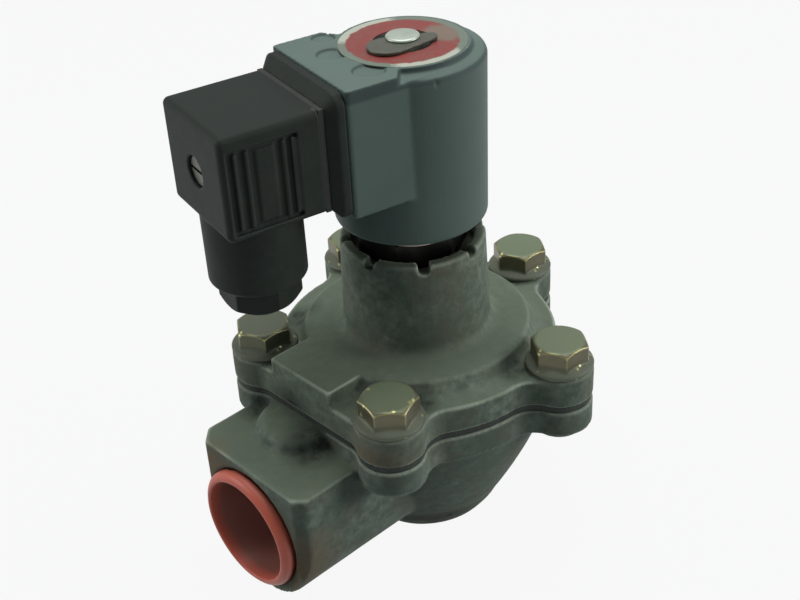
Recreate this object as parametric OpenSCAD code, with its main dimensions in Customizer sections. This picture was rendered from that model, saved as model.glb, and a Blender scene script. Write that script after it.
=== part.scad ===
// Right-angle pulse valve for a dust collector, closed and at rest.
// Origin: centre of the outlet port's bottom face. +Z runs up the tower, the inlet looks along -Y.

/* [Ports] */
// Minor diameter of the parallel pipe thread in both ports
port_minor_d = 30.3; // [29:0.1:31]
// Major diameter of the same thread, used for the lead-in chamfers
port_major_d = 33.2; // [32.6:0.1:34]
// Depth of the outlet thread
outlet_thread_len = 15; // [12:0.5:16]
// Depth of the inlet thread
inlet_thread_len = 18; // [15:0.5:20]
// Diameter of the inlet passage behind the thread
inlet_bore_d = 25; // [20:0.5:26]
// Height of the inlet axis above the outlet face
inlet_axis_z = 21.5; // [20:0.1:22]
// Sideways offset of the inlet axis from the valve axis
inlet_offset = -1.3; // [-2:0.1:0]
// Distance from the valve axis to the inlet face
inlet_face_y = 58.2; // [54:0.1:66]
// Width of the inlet boss
inlet_boss_w = 39.8; // [37.5:0.1:42]
// Height of the flat top of the inlet boss above its axis
inlet_boss_top = 18.4; // [18:0.1:20]
// Radius of the boss below its axis
inlet_boss_r = 18; // [17.6:0.1:18.6]
// Chamfer on the right front edge of the inlet boss
inlet_boss_chamfer = 2.5; // [1:0.1:3]
// Chamfer on its left front edge, worn wider
inlet_boss_left_chamfer = 3.8; // [2:0.1:4]
// Diameter of the outlet stub's foot
outlet_foot_d = 36; // [35.5:0.1:38]
// Diameter of the outlet stub's upper end
outlet_boss_d = 45.2; // [43:0.1:47]
// Height of the tapered outlet stub
outlet_boss_h = 8; // [6:0.5:9]

/* [Body] */
// Height of the joint face that clamps the diaphragm
joint_z = 43.5; // [42.5:0.1:46]
// Thickness of the body's flange
body_flange_t = 7.2; // [6:0.1:8]
// Diameter of both flanges between the lugs
flange_d = 72; // [70:0.5:74]
// Distance from the axis to the flat front of both flanges
flange_front_y = 38.4; // [37:0.1:40]
// Half the width of that flat front
flange_front_half_w = 23; // [20:0.5:25]
// Diameter of the circle through the cover bolts
bolt_circle_d = 79.5; // [78:0.5:82]
// Number of cover bolts
bolt_count = 5; // [5:1:5]
// Diameter of each round lug
lug_d = 17.2; // [16.5:0.1:18]
// Radius that blends the lugs into the flange
lug_blend_r = 7; // [3:0.5:9]
// Height of the tapered foot under each lug
lug_foot_h = 2.2; // [1.5:0.1:6]
// Radius of the cast stump on top of the inlet boss
stump_r = 11.2; // [8:0.1:12]
// Height of that stump
stump_h = 3.4; // [3:0.1:3.6]
// Diameter inside the joint, over which the diaphragm can flex
chamber_d = 58; // [54:0.5:60]
// Floor of the ring chamber round the outlet tube
chamber_floor_z = 16.5; // [16:0.5:18]
// Wall of the bowl
bowl_wall = 4; // [3:0.1:5]
// Outward swell of the bowl's side
bowl_swell = 0.7; // [0.2:0.1:1.5]
// Bore of the main seat
seat_bore_d = 25; // [22:0.5:26]
// Wall of the tube that carries the main seat
seat_wall = 2.8; // [2:0.1:3.2]
// Depth of the main seat below the joint face
seat_drop = 2.5; // [2:0.1:3.5]

/* [Cover] */
// Thickness of the cover's flange between the lugs
cover_flange_t = 7.3; // [6.5:0.1:8.5]
// Height of the bolt seats above that flange
lug_pad_h = 0.7; // [0.3:0.1:1.5]
// Height of the round platform above the same flange
platform_h = 4.2; // [3:0.1:5]
// Diameter of the platform
platform_d = 59; // [56:0.5:62]
// Diameter of the tower at its rim
tower_d = 36.5; // [36:0.1:38]
// Widening of the tower's diameter down to its foot
tower_draft = 1.3; // [0.4:0.1:2]
// Height of the tower above the platform
tower_h = 25.4; // [24:0.1:27]
// Radius at the foot of the tower
tower_fillet = 3; // [1:0.5:4]
// Wall of the tower's rim
rim_wall = 2.9; // [2:0.1:3]
// Depth of the vent trough inside the rim
trough_depth = 4; // [3:0.5:4.5]
// Number of vent notches in the rim
notch_count = 8; // [4:1:10]
// Width of each vent notch
notch_w = 2.8; // [1.5:0.1:4]
// Depth of each vent notch
notch_depth = 2.2; // [1:0.1:2.8]
// Azimuth of the first vent notch
notch_start = 9.5; // [0:0.5:40]
// Left end of the raised pad over the inlet
pad_left = 13.4; // [10:0.1:13.6]
// Right end of the raised pad over the inlet
pad_right = 8.7; // [6:0.1:13]

/* [Cover bolts] */
// Thread diameter of the cover bolts
bolt_d = 8; // [7:0.5:8]
// Width across the flats of the bolt heads
bolt_af = 13; // [12:0.5:13.5]
// Diameter of the flange under the bolt heads
bolt_flange_d = 17.4; // [16.5:0.1:17.9]
// Height of the bolt heads with their flange
bolt_head_h = 7.1; // [6:0.1:8]
// Length of the cover bolts under the head
bolt_len = 20; // [18:0.5:20]

/* [Diaphragm] */
// Thickness of the diaphragm
membrane_t = 1.6; // [1.2:0.1:2]
// Distance that the diaphragm's edge stays inside the flanges
membrane_inset = 0.5; // [0.2:0.1:1]
// Diameter of the bleed hole in the diaphragm
bleed_d = 1.6; // [1:0.1:2.5]
// Diameter of the upper support plate
plate_d = 31; // [28:0.5:34]
// Thickness of the upper support plate
plate_t = 2; // [1.5:0.1:2.4]
// Diameter of the lower retaining disc, inside the seat
disc_d = 21; // [16:0.5:21.5]
// Thickness of the lower retaining disc
disc_t = 1.8; // [1:0.1:2.5]
// Thread diameter of the centre bolt
centre_bolt_d = 6; // [5:0.5:6.5]
// Height of the nut on the centre bolt
centre_nut_h = 5; // [4:0.5:6]
// Wire diameter of the main spring
main_wire_d = 1.4; // [1:0.1:1.8]
// Mean diameter of the main spring
main_spring_d = 18; // [17:0.5:20]

/* [Pilot] */
// Orifice of the pilot seat
pilot_orifice_d = 2.5; // [1.5:0.1:3]
// Outer diameter of the core tube
tube_d = 13.6; // [13:0.1:14.2]
// Wall of the core tube
tube_wall = 0.6; // [0.5:0.05:0.8]
// Travel of the plunger
plunger_stroke = 2; // [1:0.1:2.5]
// Room between the tube nut's corners and the trough's wall
nut_gap = 1.5; // [1:0.1:2.5]
// Depth of the hole in the plunger that takes its spring
plunger_hole = 12; // [10:0.5:14]
// Depth of the hole in the fixed core that takes the spring's other end
core_hole = 4; // [3:0.5:6]
// Wire diameter of the plunger spring
pilot_wire_d = 0.6; // [0.4:0.05:0.7]
// Mean diameter of the plunger spring
pilot_spring_d = 4.8; // [4.4:0.1:5.2]

/* [Coil] */
// Diameter of the coil at its upper edge
coil_d = 38.7; // [38:0.1:40]
// Narrowing of the coil's diameter down to its lower edge
coil_draft = 0.9; // [0.2:0.1:1.5]
// Height of the coil's straight side
coil_side_h = 40.8; // [39:0.1:42]
// Gap between the tower's rim and the coil
coil_gap = 6.2; // [5.8:0.1:7]
// Height of the chamfer on the coil's upper edge
coil_chamfer_h = 1.7; // [1:0.1:2.4]
// Diameter of the raised disc on top of the coil
top_disc_d = 31.8; // [30:0.1:33]
// Height of the raised disc
top_disc_h = 1.3; // [0.5:0.1:1.5]
// Angle by which the coil's lowered edge runs on into the nose's corners
ledge_turn = 35.5; // [30:0.5:45]
// Azimuth of the connector side of the coil
coil_azimuth = 258.5; // [180:0.5:360]
// Distance from the axis to the end face of the coil's nose
nose_reach = 25.1; // [24:0.1:27]
// Width of the nose
nose_w = 33.8; // [32:0.1:35]
// Height of the nose
nose_h = 31; // [30:0.1:33]
// Radius of the clip's broad lobe
clip_lobe_r = 4.8; // [4:0.1:5.5]
// Radius of the clip's narrow tip
clip_tip_r = 2; // [1.5:0.1:2.5]
// Wall of the moulding outside the steel shell
coil_wall = 2.6; // [2.2:0.1:3]

/* [Connector] */
// Width of the connector plug
plug_w = 28.8; // [27:0.1:29]
// Height of the connector plug
plug_h = 25.2; // [25:0.1:27]
// Depth of the connector plug
plug_depth = 24.1; // [24:0.1:27]
// Drop of the plug's top below the nose's top
plug_drop = 3.3; // [2:0.1:4]
// Wall of the plug
plug_wall = 2; // [1.8:0.1:2.2]
// Rounding of the plug's outer edges
plug_edge_r = 1.6; // [1:0.1:2]
// Width of the ribbed panel on the plug's side
panel_w = 17; // [14:0.5:19]
// Height of that panel
panel_h = 20.2; // [16:0.1:21]
// Depth of that panel
panel_depth = 1.1; // [0.5:0.1:1.2]
// Depth of the contact insert inside the plug
insert_depth = 13; // [10:0.5:14]
// Radius of the recess of the plug's screw
screw_recess_r = 3.8; // [3:0.1:4.5]
// Depth of that recess
screw_recess_depth = 3; // [2:0.1:4]
// Thickness of the black terminal base on the nose
base_t = 4.3; // [3:0.1:5]
// Rounding of the base's corners
base_corner_r = 3; // [1:0.5:4]
// Thickness of the flat gasket
gasket_t = 1.2; // [0.8:0.1:2]
// Diameter of the plug's neck
neck_d = 23.4; // [21.6:0.1:23.8]
// Length of the plug's neck
neck_len = 18.2; // [16:0.1:19]
// Width across the flats of the gland nut
gland_af = 17.2; // [16.8:0.1:20.6]
// Length of the gland nut below the neck
gland_len = 7.9; // [7:0.1:12.5]
// Radius of the gland nut's lower end
gland_end_r = 6; // [5.4:0.1:7]
// Height of the cable grommet
grommet_h = 8.2; // [7:0.1:8.4]
// Height of the washer below the grommet
gland_washer_h = 1.1; // [0.8:0.1:1.2]
// Diameter of the cable that the gland takes
cable_d = 7.5; // [6:0.1:8]

/* [Inlet plug] */
// Outer diameter of the red plug's rim
cap_rim_d = 32.2; // [31.5:0.1:33]
// Thickness of the rim
cap_rim_t = 3; // [2:0.1:4]
// Inner diameter of the plug
cap_bore_d = 24.6; // [22:0.1:26]
// Depth of the plug inside the port
cap_depth = 14; // [8:0.5:15]

/* [Hidden] */
$fn = 96;

// Clearances
fit = 0.05;
slack = 0.3;
run = 0.1;
over = 1;

// Levels of the castings
membrane_top_z = joint_z + membrane_t;
flange_top_z = membrane_top_z + cover_flange_t;
bolt_seat_z = flange_top_z + lug_pad_h;
platform_z = flange_top_z + platform_h;
rim_z = platform_z + tower_h;
seat_z = joint_z - seat_drop;
flange_under_z = joint_z - body_flange_t;
stump_place = [-4.2, -flange_front_y + 0.4];
tube_outer_r = seat_bore_d / 2 + seat_wall;
chamber_roof_z = platform_z - 5;
spring_pocket_r = main_spring_d / 2 + main_wire_d / 2 + 2;
spring_roof_z = platform_z + 3.4;

// Levels of the pilot stage, downwards from the rim
trough_z = rim_z - trough_depth;
trough_r = tower_d / 2 - rim_wall;
tube_nut_af = 2 * (trough_r - nut_gap) * cos(30);
nut_r = tube_nut_af / 2 - 1;
ledge_z = trough_z - 7;
cavity_r = tube_d / 2 + 0.2;
cavity_floor_z = ledge_z - 3.5;
pilot_stem_r = 4;
pilot_flange_r = cavity_r - 0.8;
pilot_lip_z = ledge_z - 1;
pilot_stem_z = spring_roof_z + 1;
ring_wire_r = 0.6;
tube_r = tube_d / 2;
tube_bore_r = tube_r - tube_wall;
foot_t = 1.5;
nut_top_z = rim_z + coil_gap - 1.8;

// Levels of the coil
coil_z = rim_z + coil_gap;
chamfer_z = coil_z + coil_side_h;
shoulder_z = chamfer_z + coil_chamfer_h;
coil_top_z = shoulder_z + top_disc_h;
nose_z = coil_top_z - nose_h;
tube_top_z = coil_top_z - 0.8;
clip_z = coil_top_z + slack;
clip_t = 1.1;
hub_r = 4.25;
hub_top_z = clip_z + clip_t + 0.8;
fixed_core_len = 18;
fixed_core_z = tube_top_z - 1.3 - fixed_core_len;
plunger_top_z = fixed_core_z - plunger_stroke;
plunger_r = tube_bore_r - 0.08;
seal_r = 3.6;
seal_proud = 0.5;
plunger_z = pilot_lip_z + fit + seal_proud;
shell_r = coil_d / 2 - coil_draft / 2 - coil_wall;
shell_wall = 1.5;
shell_z = coil_z + 2.2;
shell_h = chamfer_z - 2.5 - shell_z;
bobbin_r = shell_r - shell_wall - 0.2;
bobbin_z = shell_z + shell_wall + fit;
lid_t = 2;
bobbin_h = shell_h - shell_wall - lid_t - 2 * fit;
bobbin_flange_t = 1;
bobbin_wall = 0.9;

// Levels and places of the connector, along its own axis
plug_top_z = coil_top_z - plug_drop;
plug_z = plug_top_z - plug_h;
plug_back = nose_reach + base_t + gasket_t;
plug_front = plug_back + plug_depth;
plug_mid = (plug_back + plug_front) / 2;
screw_z = plug_z + plug_h / 2 - 0.3;
screw_r = 1.5;
neck_z = plug_z - neck_len;
gland_z = neck_z - gland_len;
gland_pocket_r = 8;
washer_z = neck_z + 3.4;
cable_bore_r = cable_d / 2;
blade_w = 6.3;
blade_t = 0.8;
blade_offset = plug_w / 2 - plug_wall - blade_w / 2 - 3 * fit;

// Places of the blades as across and height from the screw
BLADES = [[-blade_offset, 0], [blade_offset, 0], [0, -blade_offset + 0.8]];

// How far each bolt head is turned, as the spanner left it
HEAD_TURNS = [25, 40, 25, 49, 25];

function bolt_azimuth(i) = 90 + 360 / bolt_count * i;
function bolt_place(i) = bolt_circle_d / 2 * [cos(bolt_azimuth(i)), sin(bolt_azimuth(i))];

// Point t of the way down the bowl's side, 0 at the flange and 1 at the outlet stub
function bowl_point(t) = [
    flange_d / 2 - 0.6 - t * (flange_d / 2 - outlet_boss_d / 2 - 1.6) + bowl_swell * sin(180 * t),
    flange_under_z - t * (flange_under_z - outlet_boss_h - 1.5)
];

// Points of an arc in the plane, from one angle to another
function arc(centre, r, from, to, steps) =
    [for (i = [0:steps]) let (a = from + (to - from) * i / steps) centre + r * [cos(a), sin(a)]];

// Height of a spring's wire centre at turn t, closed at both ends
function spring_rise(t, turns, wire) =
    let (flat = 1, pitch_turns = turns - 2 * flat)
    t < flat ? [wire * t, 0]
    : t > turns - flat ? [wire * (flat + t - turns + flat), 1]
    : [wire * flat, (t - flat) / pitch_turns];

module bolt_places() {
    for (i = [0:bolt_count - 1])
        translate(bolt_place(i)) children();
}

// Turns children so that +Y runs out along the connector, with X across it
module along_connector() {
    rotate([0, 0, coil_azimuth - 90]) children();
}

// A round bar lying along the connector's axis at a height, from one distance to another
module connector_bar(r, from, to, z) {
    translate([0, from, z]) rotate([-90, 0, 0]) cylinder(r = r, h = to - from);
}

// Coil spring with closed ends, standing on z0 and reaching z1
module coil_spring(mean_d, wire, z0, z1, turns, steps, sides) {
    n = turns * steps;
    free = z1 - z0 - wire - 2 * wire;
    points = [for (i = [0:n]) let (a = 360 * i / steps, s = spring_rise(i / steps, turns, wire))
              for (k = [0:sides - 1]) let (b = 360 * k / sides, r = mean_d / 2 + wire / 2 * cos(b))
              [r * cos(a), r * sin(a), z0 + wire / 2 + s[0] + s[1] * free + wire / 2 * sin(b)]];
    walls = [for (i = [0:n - 1]) for (k = [0:sides - 1])
             [i * sides + k, i * sides + (k + 1) % sides,
              (i + 1) * sides + (k + 1) % sides, (i + 1) * sides + k]];
    start = [for (k = [sides - 1:-1:0]) k];
    end = [for (k = [0:sides - 1]) n * sides + k];
    polyhedron(points, concat(walls, [start, end]), convexity = 8);
}

// Outline of both flanges: a disc, a flat front over the inlet and five round lugs
module flange_outline() {
    offset(r = -lug_blend_r, $fn = 64) offset(r = lug_blend_r, $fn = 64) {
        circle(d = flange_d, $fn = 120);
        translate([-flange_front_half_w, -flange_front_y]) square([2 * flange_front_half_w, flange_front_y]);
        bolt_places() circle(d = lug_d, $fn = 48);
    }
}

// Outline of the inlet boss, seen along the inlet, with its centre on the port's axis
module inlet_outline() {
    side_x = inlet_boss_w / 2 - inlet_boss_r;
    for (side = [-1, 1])
        translate([side * side_x, 0]) circle(r = inlet_boss_r);
    translate([-side_x, -inlet_boss_r]) square([2 * side_x, inlet_boss_r]);
    translate([-inlet_boss_w / 2, 0]) square([inlet_boss_w, inlet_boss_top]);
}

module inlet_axis() {
    translate([inlet_offset, 0, inlet_axis_z]) rotate([90, 0, 0]) children();
}

// Threaded port cut with its lead-in chamfer, mouth at z = 0 and running up
module port_cut(depth) {
    translate([0, 0, -over]) cylinder(d = port_minor_d, h = depth + over);
    lead = (port_major_d - port_minor_d) / 2;
    translate([0, 0, -fit]) cylinder(r1 = port_major_d / 2 + fit, r2 = port_minor_d / 2, h = lead + fit);
}

module body() color([0.44, 0.47, 0.43]) {
    inlet_inner_y = outlet_foot_d / 2 - 1;
    difference() {
        union() {
            translate([0, 0, flange_under_z]) linear_extrude(body_flange_t) flange_outline();
            rotate_extrude() polygon(concat(
                [[0, 0], [outlet_foot_d / 2 - 0.4, 0], [outlet_foot_d / 2 + 0.2, 0.6]],
                [[(outlet_foot_d + outlet_boss_d) / 4 + 0.3, outlet_boss_h / 2]],
                [[outlet_boss_d / 2, outlet_boss_h]],
                [for (i = [8:-1:0]) bowl_point(i / 8)],
                [[flange_d / 2 - 0.6, flange_under_z + 1], [0, flange_under_z + 1]]));
            inlet_axis() translate([0, 0, inlet_inner_y])
                linear_extrude(inlet_face_y - inlet_inner_y) inlet_outline();
            // Tapered feet of the lugs
            bolt_places() translate([0, 0, flange_under_z - lug_foot_h])
                cylinder(d1 = lug_d * 0.7, d2 = lug_d - 0.2, h = lug_foot_h + 0.5);
            // Rounded stump of the casting gate on top of the inlet boss
            translate([stump_place[0], stump_place[1], inlet_axis_z + inlet_boss_top - 1])
                rotate_extrude() polygon(concat([[0, 0], [stump_r, 0]],
                    arc([stump_r - 3, 1 + stump_h - 3], 3, 0, 80, 4), [[0, 1 + stump_h]]));
        }
        // Upright front edges of the inlet boss
        for (c = [[-1, inlet_boss_left_chamfer], [1, inlet_boss_chamfer]])
            translate([inlet_offset + c[0] * inlet_boss_w / 2, -inlet_face_y, inlet_axis_z - inlet_boss_w])
                rotate([0, 0, 45]) translate([-c[1] / sqrt(2), -c[1] / sqrt(2), 0])
                    cube([c[1] * sqrt(2), c[1] * sqrt(2), 2 * inlet_boss_w]);
        // Ports
        port_cut(outlet_thread_len);
        translate([0, 0, outlet_thread_len - over]) cylinder(d = seat_bore_d, h = seat_z);
        inlet_axis() translate([0, 0, inlet_face_y]) mirror([0, 0, 1]) port_cut(inlet_thread_len);
        inlet_axis() translate([0, 0, port_minor_d / 2 + 4])
            cylinder(d = inlet_bore_d, h = inlet_face_y - port_minor_d / 2 - 4 - inlet_thread_len + over);
        // Ring chamber round the seat tube, open to the joint face
        rotate_extrude() polygon([
            [tube_outer_r, chamber_floor_z],
            [bowl_point(0.75)[0] - bowl_wall, chamber_floor_z],
            [chamber_d / 2, flange_under_z - 3],
            [chamber_d / 2, joint_z + over],
            [0, joint_z + over],
            [0, seat_z],
            [tube_outer_r - 0.8, seat_z],
            [tube_outer_r, seat_z - 0.8]]);
        bolt_places() translate([0, 0, bolt_seat_z - bolt_len - over])
            cylinder(d = bolt_d + 2 * fit, h = bolt_len + 2 * over);
    }
}

module cover() color([0.47, 0.49, 0.44]) {
    foot_r = tower_d / 2 + tower_draft / 2;
    difference() {
        union() {
            translate([0, 0, membrane_top_z]) linear_extrude(cover_flange_t) flange_outline();
            bolt_places() translate([0, 0, membrane_top_z])
                cylinder(d = lug_d - 0.6, h = bolt_seat_z - membrane_top_z);
            rotate_extrude() polygon(concat(
                [[0, membrane_top_z + 1], [flange_d / 2 - 3, membrane_top_z + 1]],
                [[flange_d / 2 - 3, flange_top_z]],
                [[platform_d / 2 + 1.2, flange_top_z + 0.7]],
                arc([platform_d / 2 - 1.5, platform_z - 1.5], 1.5, 0, 90, 5),
                arc([foot_r + tower_fillet, platform_z + tower_fillet], tower_fillet, 270, 180, 5),
                [[tower_d / 2, rim_z - 0.5], [tower_d / 2 - 0.4, rim_z], [0, rim_z]]));
            // Raised pad over the inlet, flush with the flat front
            translate([-pad_left, -flange_front_y, membrane_top_z + 1])
                cube([pad_left + pad_right, flange_front_y - tower_d / 2 + 2,
                      platform_z - membrane_top_z - 1]);
        }
        // Round pockets for the bolt heads
        bolt_places() translate([0, 0, bolt_seat_z]) cylinder(d = bolt_flange_d + 1.4, h = tower_h);
        bolt_places() translate([0, 0, membrane_top_z - over]) cylinder(d = bolt_d + 0.8, h = tower_h);
        // Control chamber and the spring's pocket above it
        rotate_extrude() polygon([
            [0, membrane_top_z - over], [chamber_d / 2, membrane_top_z - over],
            [chamber_d / 2, membrane_top_z],
            [chamber_d / 2 - 1.5, chamber_roof_z], [spring_pocket_r, chamber_roof_z],
            [spring_pocket_r, spring_roof_z], [0, spring_roof_z]]);
        // Passage to the pilot seat, the seat's bore and the cavity round it
        cylinder(d = pilot_orifice_d + 1, h = ledge_z);
        translate([0, 0, pilot_stem_z]) cylinder(r = pilot_stem_r + fit, h = ledge_z - pilot_stem_z);
        translate([0, 0, cavity_floor_z - 2 * ring_wire_r - fit])
            cylinder(r = pilot_stem_r + 2 * ring_wire_r + fit, h = ledge_z - cavity_floor_z);
        translate([0, 0, cavity_floor_z]) cylinder(r = cavity_r, h = rim_z);
        translate([0, 0, ledge_z]) cylinder(r = nut_r + fit, h = rim_z);
        // Vent trough and the notches in the rim
        translate([0, 0, trough_z]) cylinder(r = trough_r, h = trough_depth + over);
        for (i = [0:notch_count - 1])
            rotate([0, 0, notch_start + 360 / notch_count * i])
                translate([trough_r - over, -notch_w / 2, rim_z - notch_depth])
                    cube([rim_wall + 2 * over, notch_w, notch_depth + over]);
    }
}

module cover_bolts() color([0.55, 0.53, 0.36])
    for (i = [0:bolt_count - 1])
        translate([bolt_place(i)[0], bolt_place(i)[1], bolt_seat_z]) rotate([0, 0, HEAD_TURNS[i]]) {
            corner_r = bolt_af / 2 / cos(30);
            rotate_extrude() polygon([
                [0, -bolt_len], [bolt_d / 2 - 0.8, -bolt_len], [bolt_d / 2, -bolt_len + 0.8],
                [bolt_d / 2, 0], [bolt_flange_d / 2 - 0.3, 0], [bolt_flange_d / 2, 0.4],
                [bolt_flange_d / 2, 0.9],
                [bolt_af / 2, 2.3], [0, 2.3]]);
            intersection() {
                translate([0, 0, 1]) cylinder(r = corner_r, h = bolt_head_h - 1, $fn = 6);
                rotate_extrude() polygon([[0, 0], [corner_r + 1, 0], [corner_r + 1, bolt_head_h - 1.5],
                    [bolt_af / 2 - 0.4, bolt_head_h], [0, bolt_head_h]]);
            }
        }

module diaphragm() color([0.07, 0.07, 0.07]) {
    flat_r = plate_d / 2 + 1;
    low = seat_z + fit;
    difference() {
        union() {
            translate([0, 0, joint_z]) linear_extrude(membrane_t) difference() {
                offset(delta = -membrane_inset) flange_outline();
                circle(d = chamber_d - 1);
            }
            rotate_extrude() polygon([[0, low], [flat_r, low], [flat_r + 3, low + 0.5],
                [chamber_d / 2 - 4, joint_z - 0.4], [chamber_d / 2 - 1.5, joint_z], [chamber_d / 2, joint_z],
                [chamber_d / 2, membrane_top_z], [chamber_d / 2 - 2, membrane_top_z],
                [chamber_d / 2 - 4.5, membrane_top_z - 0.4], [flat_r + 2.5, low + membrane_t + 0.5],
                [flat_r - 0.5, low + membrane_t], [0, low + membrane_t]]);
        }
        translate([0, 0, low - over]) cylinder(d = centre_bolt_d + 2 * fit, h = 3 * membrane_t + over);
        translate([flat_r + 5, 0, low - over]) cylinder(d = bleed_d, h = 3 * membrane_t + over);
        bolt_places() translate([0, 0, joint_z - over])
            cylinder(d = bolt_d + 0.6, h = membrane_t + 2 * over);
    }
}

module support_plate() color([0.62, 0.63, 0.64]) {
    low = seat_z + membrane_t + 2 * fit;
    rotate_extrude() polygon([[centre_bolt_d / 2 + fit, low], [plate_d / 2 - 1, low], [plate_d / 2, low + 1],
        [plate_d / 2, low + plate_t + 0.6], [plate_d / 2 - 1.2, low + plate_t + 0.6],
        [plate_d / 2 - 1.8, low + plate_t], [centre_bolt_d / 2 + fit, low + plate_t]]);
}

module retaining_disc() color([0.62, 0.63, 0.64])
    translate([0, 0, seat_z - disc_t]) difference() {
        cylinder(d1 = disc_d - 1, d2 = disc_d, h = disc_t);
        translate([0, 0, -over]) cylinder(d = centre_bolt_d + 2 * fit, h = disc_t + 2 * over);
    }

module centre_bolt() color([0.6, 0.6, 0.58]) {
    head_t = 2;
    low = seat_z - disc_t;
    top = seat_z + membrane_t + plate_t + centre_nut_h + 1.2;
    translate([0, 0, low - head_t]) cylinder(r = centre_bolt_d * 0.85, h = head_t, $fn = 6);
    translate([0, 0, low - fit]) cylinder(d = centre_bolt_d, h = top - low);
}

module centre_nut() color([0.6, 0.6, 0.58])
    translate([0, 0, seat_z + membrane_t + plate_t + 3 * fit]) difference() {
        cylinder(r = centre_bolt_d * 0.96, h = centre_nut_h, $fn = 6);
        translate([0, 0, -over]) cylinder(d = centre_bolt_d + 2 * fit, h = centre_nut_h + 2 * over);
    }

module main_spring() color([0.7, 0.7, 0.72])
    coil_spring(main_spring_d, main_wire_d, seat_z + membrane_t + plate_t + 3 * fit,
        spring_roof_z - fit, 5, 20, 8);

module pilot_seat() color([0.78, 0.62, 0.3])
    rotate_extrude() polygon([[pilot_orifice_d / 2, pilot_stem_z + fit], [pilot_stem_r, pilot_stem_z + fit],
        [pilot_stem_r, cavity_floor_z], [pilot_flange_r, cavity_floor_z],
        [pilot_flange_r, cavity_floor_z + 1.3],
        [pilot_orifice_d / 2 + 1.4, cavity_floor_z + 1.3], [pilot_orifice_d / 2 + 0.6, pilot_lip_z],
        [pilot_orifice_d / 2, pilot_lip_z]]);

module pilot_seat_ring() color([0.06, 0.06, 0.06])
    rotate_extrude() translate([pilot_stem_r + ring_wire_r + fit, cavity_floor_z - ring_wire_r - fit])
        circle(r = ring_wire_r, $fn = 32);

module core_tube() color([0.72, 0.73, 0.74])
    difference() {
        rotate_extrude() polygon([[0, ledge_z], [nut_r - 0.5, ledge_z], [nut_r - 0.5, ledge_z + foot_t],
            [tube_r, ledge_z + foot_t], [tube_r, tube_top_z - 0.8], [tube_r - 0.8, tube_top_z],
            [hub_r, tube_top_z], [hub_r, clip_z], [hub_r - 0.9, clip_z],
            [hub_r - 0.9, clip_z + clip_t + fit], [hub_r, clip_z + clip_t + fit],
            [hub_r, hub_top_z - 0.4], [hub_r - 0.5, hub_top_z], [0, hub_top_z]]);
        translate([0, 0, ledge_z - over]) cylinder(r = tube_bore_r, h = tube_top_z - 1.2 - ledge_z + over);
    }

module tube_nut() color([0.6, 0.58, 0.5])
    difference() {
        union() {
            translate([0, 0, ledge_z + foot_t]) cylinder(r = nut_r, h = nut_top_z - ledge_z - foot_t - 1);
            intersection() {
                translate([0, 0, trough_z])
                    cylinder(r = tube_nut_af / 2 / cos(30), h = nut_top_z - trough_z, $fn = 6);
                translate([0, 0, trough_z])
                    cylinder(r1 = tube_nut_af, r2 = tube_nut_af / 2 - 0.3, h = nut_top_z - trough_z);
            }
        }
        translate([0, 0, ledge_z]) cylinder(r = tube_r + run, h = nut_top_z);
        // Vent grooves down the thread and out under the hexagon
        for (i = [0:3])
            rotate([0, 0, 90 * i + 15]) translate([nut_r - 1.1, -1, ledge_z])
                cube([nut_r, 2, trough_depth + 5]);
    }

module fixed_core() color([0.62, 0.63, 0.63])
    difference() {
        translate([0, 0, fixed_core_z]) cylinder(r = tube_bore_r - fit, h = fixed_core_len);
        translate([0, 0, fixed_core_z - over])
            cylinder(d = pilot_spring_d + pilot_wire_d + 0.6, h = core_hole + over);
        translate([0, 0, fixed_core_z]) rotate_extrude() translate([4.1, -over]) square([1.3, 1.3 + over]);
    }

module shading_ring() color([0.72, 0.45, 0.3])
    translate([0, 0, fixed_core_z + fit]) rotate_extrude() translate([4.1 + fit, 0]) square([1.2, 1.2]);

module plunger() color([0.62, 0.63, 0.63])
    difference() {
        translate([0, 0, plunger_z]) cylinder(r = plunger_r, h = plunger_top_z - plunger_z);
        translate([0, 0, plunger_z - over]) cylinder(r = seal_r + fit, h = 3 + over);
        translate([0, 0, plunger_top_z - plunger_hole])
            cylinder(d = pilot_spring_d + pilot_wire_d + 0.6, h = plunger_hole + over);
        // Flats that let the air past
        for (side = [0, 180])
            rotate([0, 0, side]) translate([plunger_r - 0.6, -plunger_r, plunger_z + 6])
                cube([plunger_r, 2 * plunger_r, plunger_top_z]);
    }

module plunger_seal() color([0.08, 0.08, 0.08])
    translate([0, 0, pilot_lip_z + fit]) cylinder(r = seal_r, h = seal_proud + 3 - fit);

module plunger_spring() color([0.75, 0.75, 0.76])
    coil_spring(pilot_spring_d, pilot_wire_d, plunger_top_z - plunger_hole + fit,
        fixed_core_z + core_hole - fit, 9, 14, 6);

module wave_washer() color([0.6, 0.52, 0.48]) {
    washer_r = tower_d / 2 - 2.2;
    bump_h = coil_z - slack - nut_top_z - 1;
    difference() {
        union() {
            translate([0, 0, nut_top_z]) cylinder(r = washer_r, h = 1);
            for (i = [0:3])
                rotate([0, 0, 90 * i - 13 + 8]) rotate_extrude(angle = 26)
                    translate([washer_r - 3.1, nut_top_z + 0.5 - slack]) square([3, bump_h + 0.5 + slack]);
        }
        translate([0, 0, nut_top_z - over]) cylinder(r = tube_r + run, h = 4);
    }
}

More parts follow.
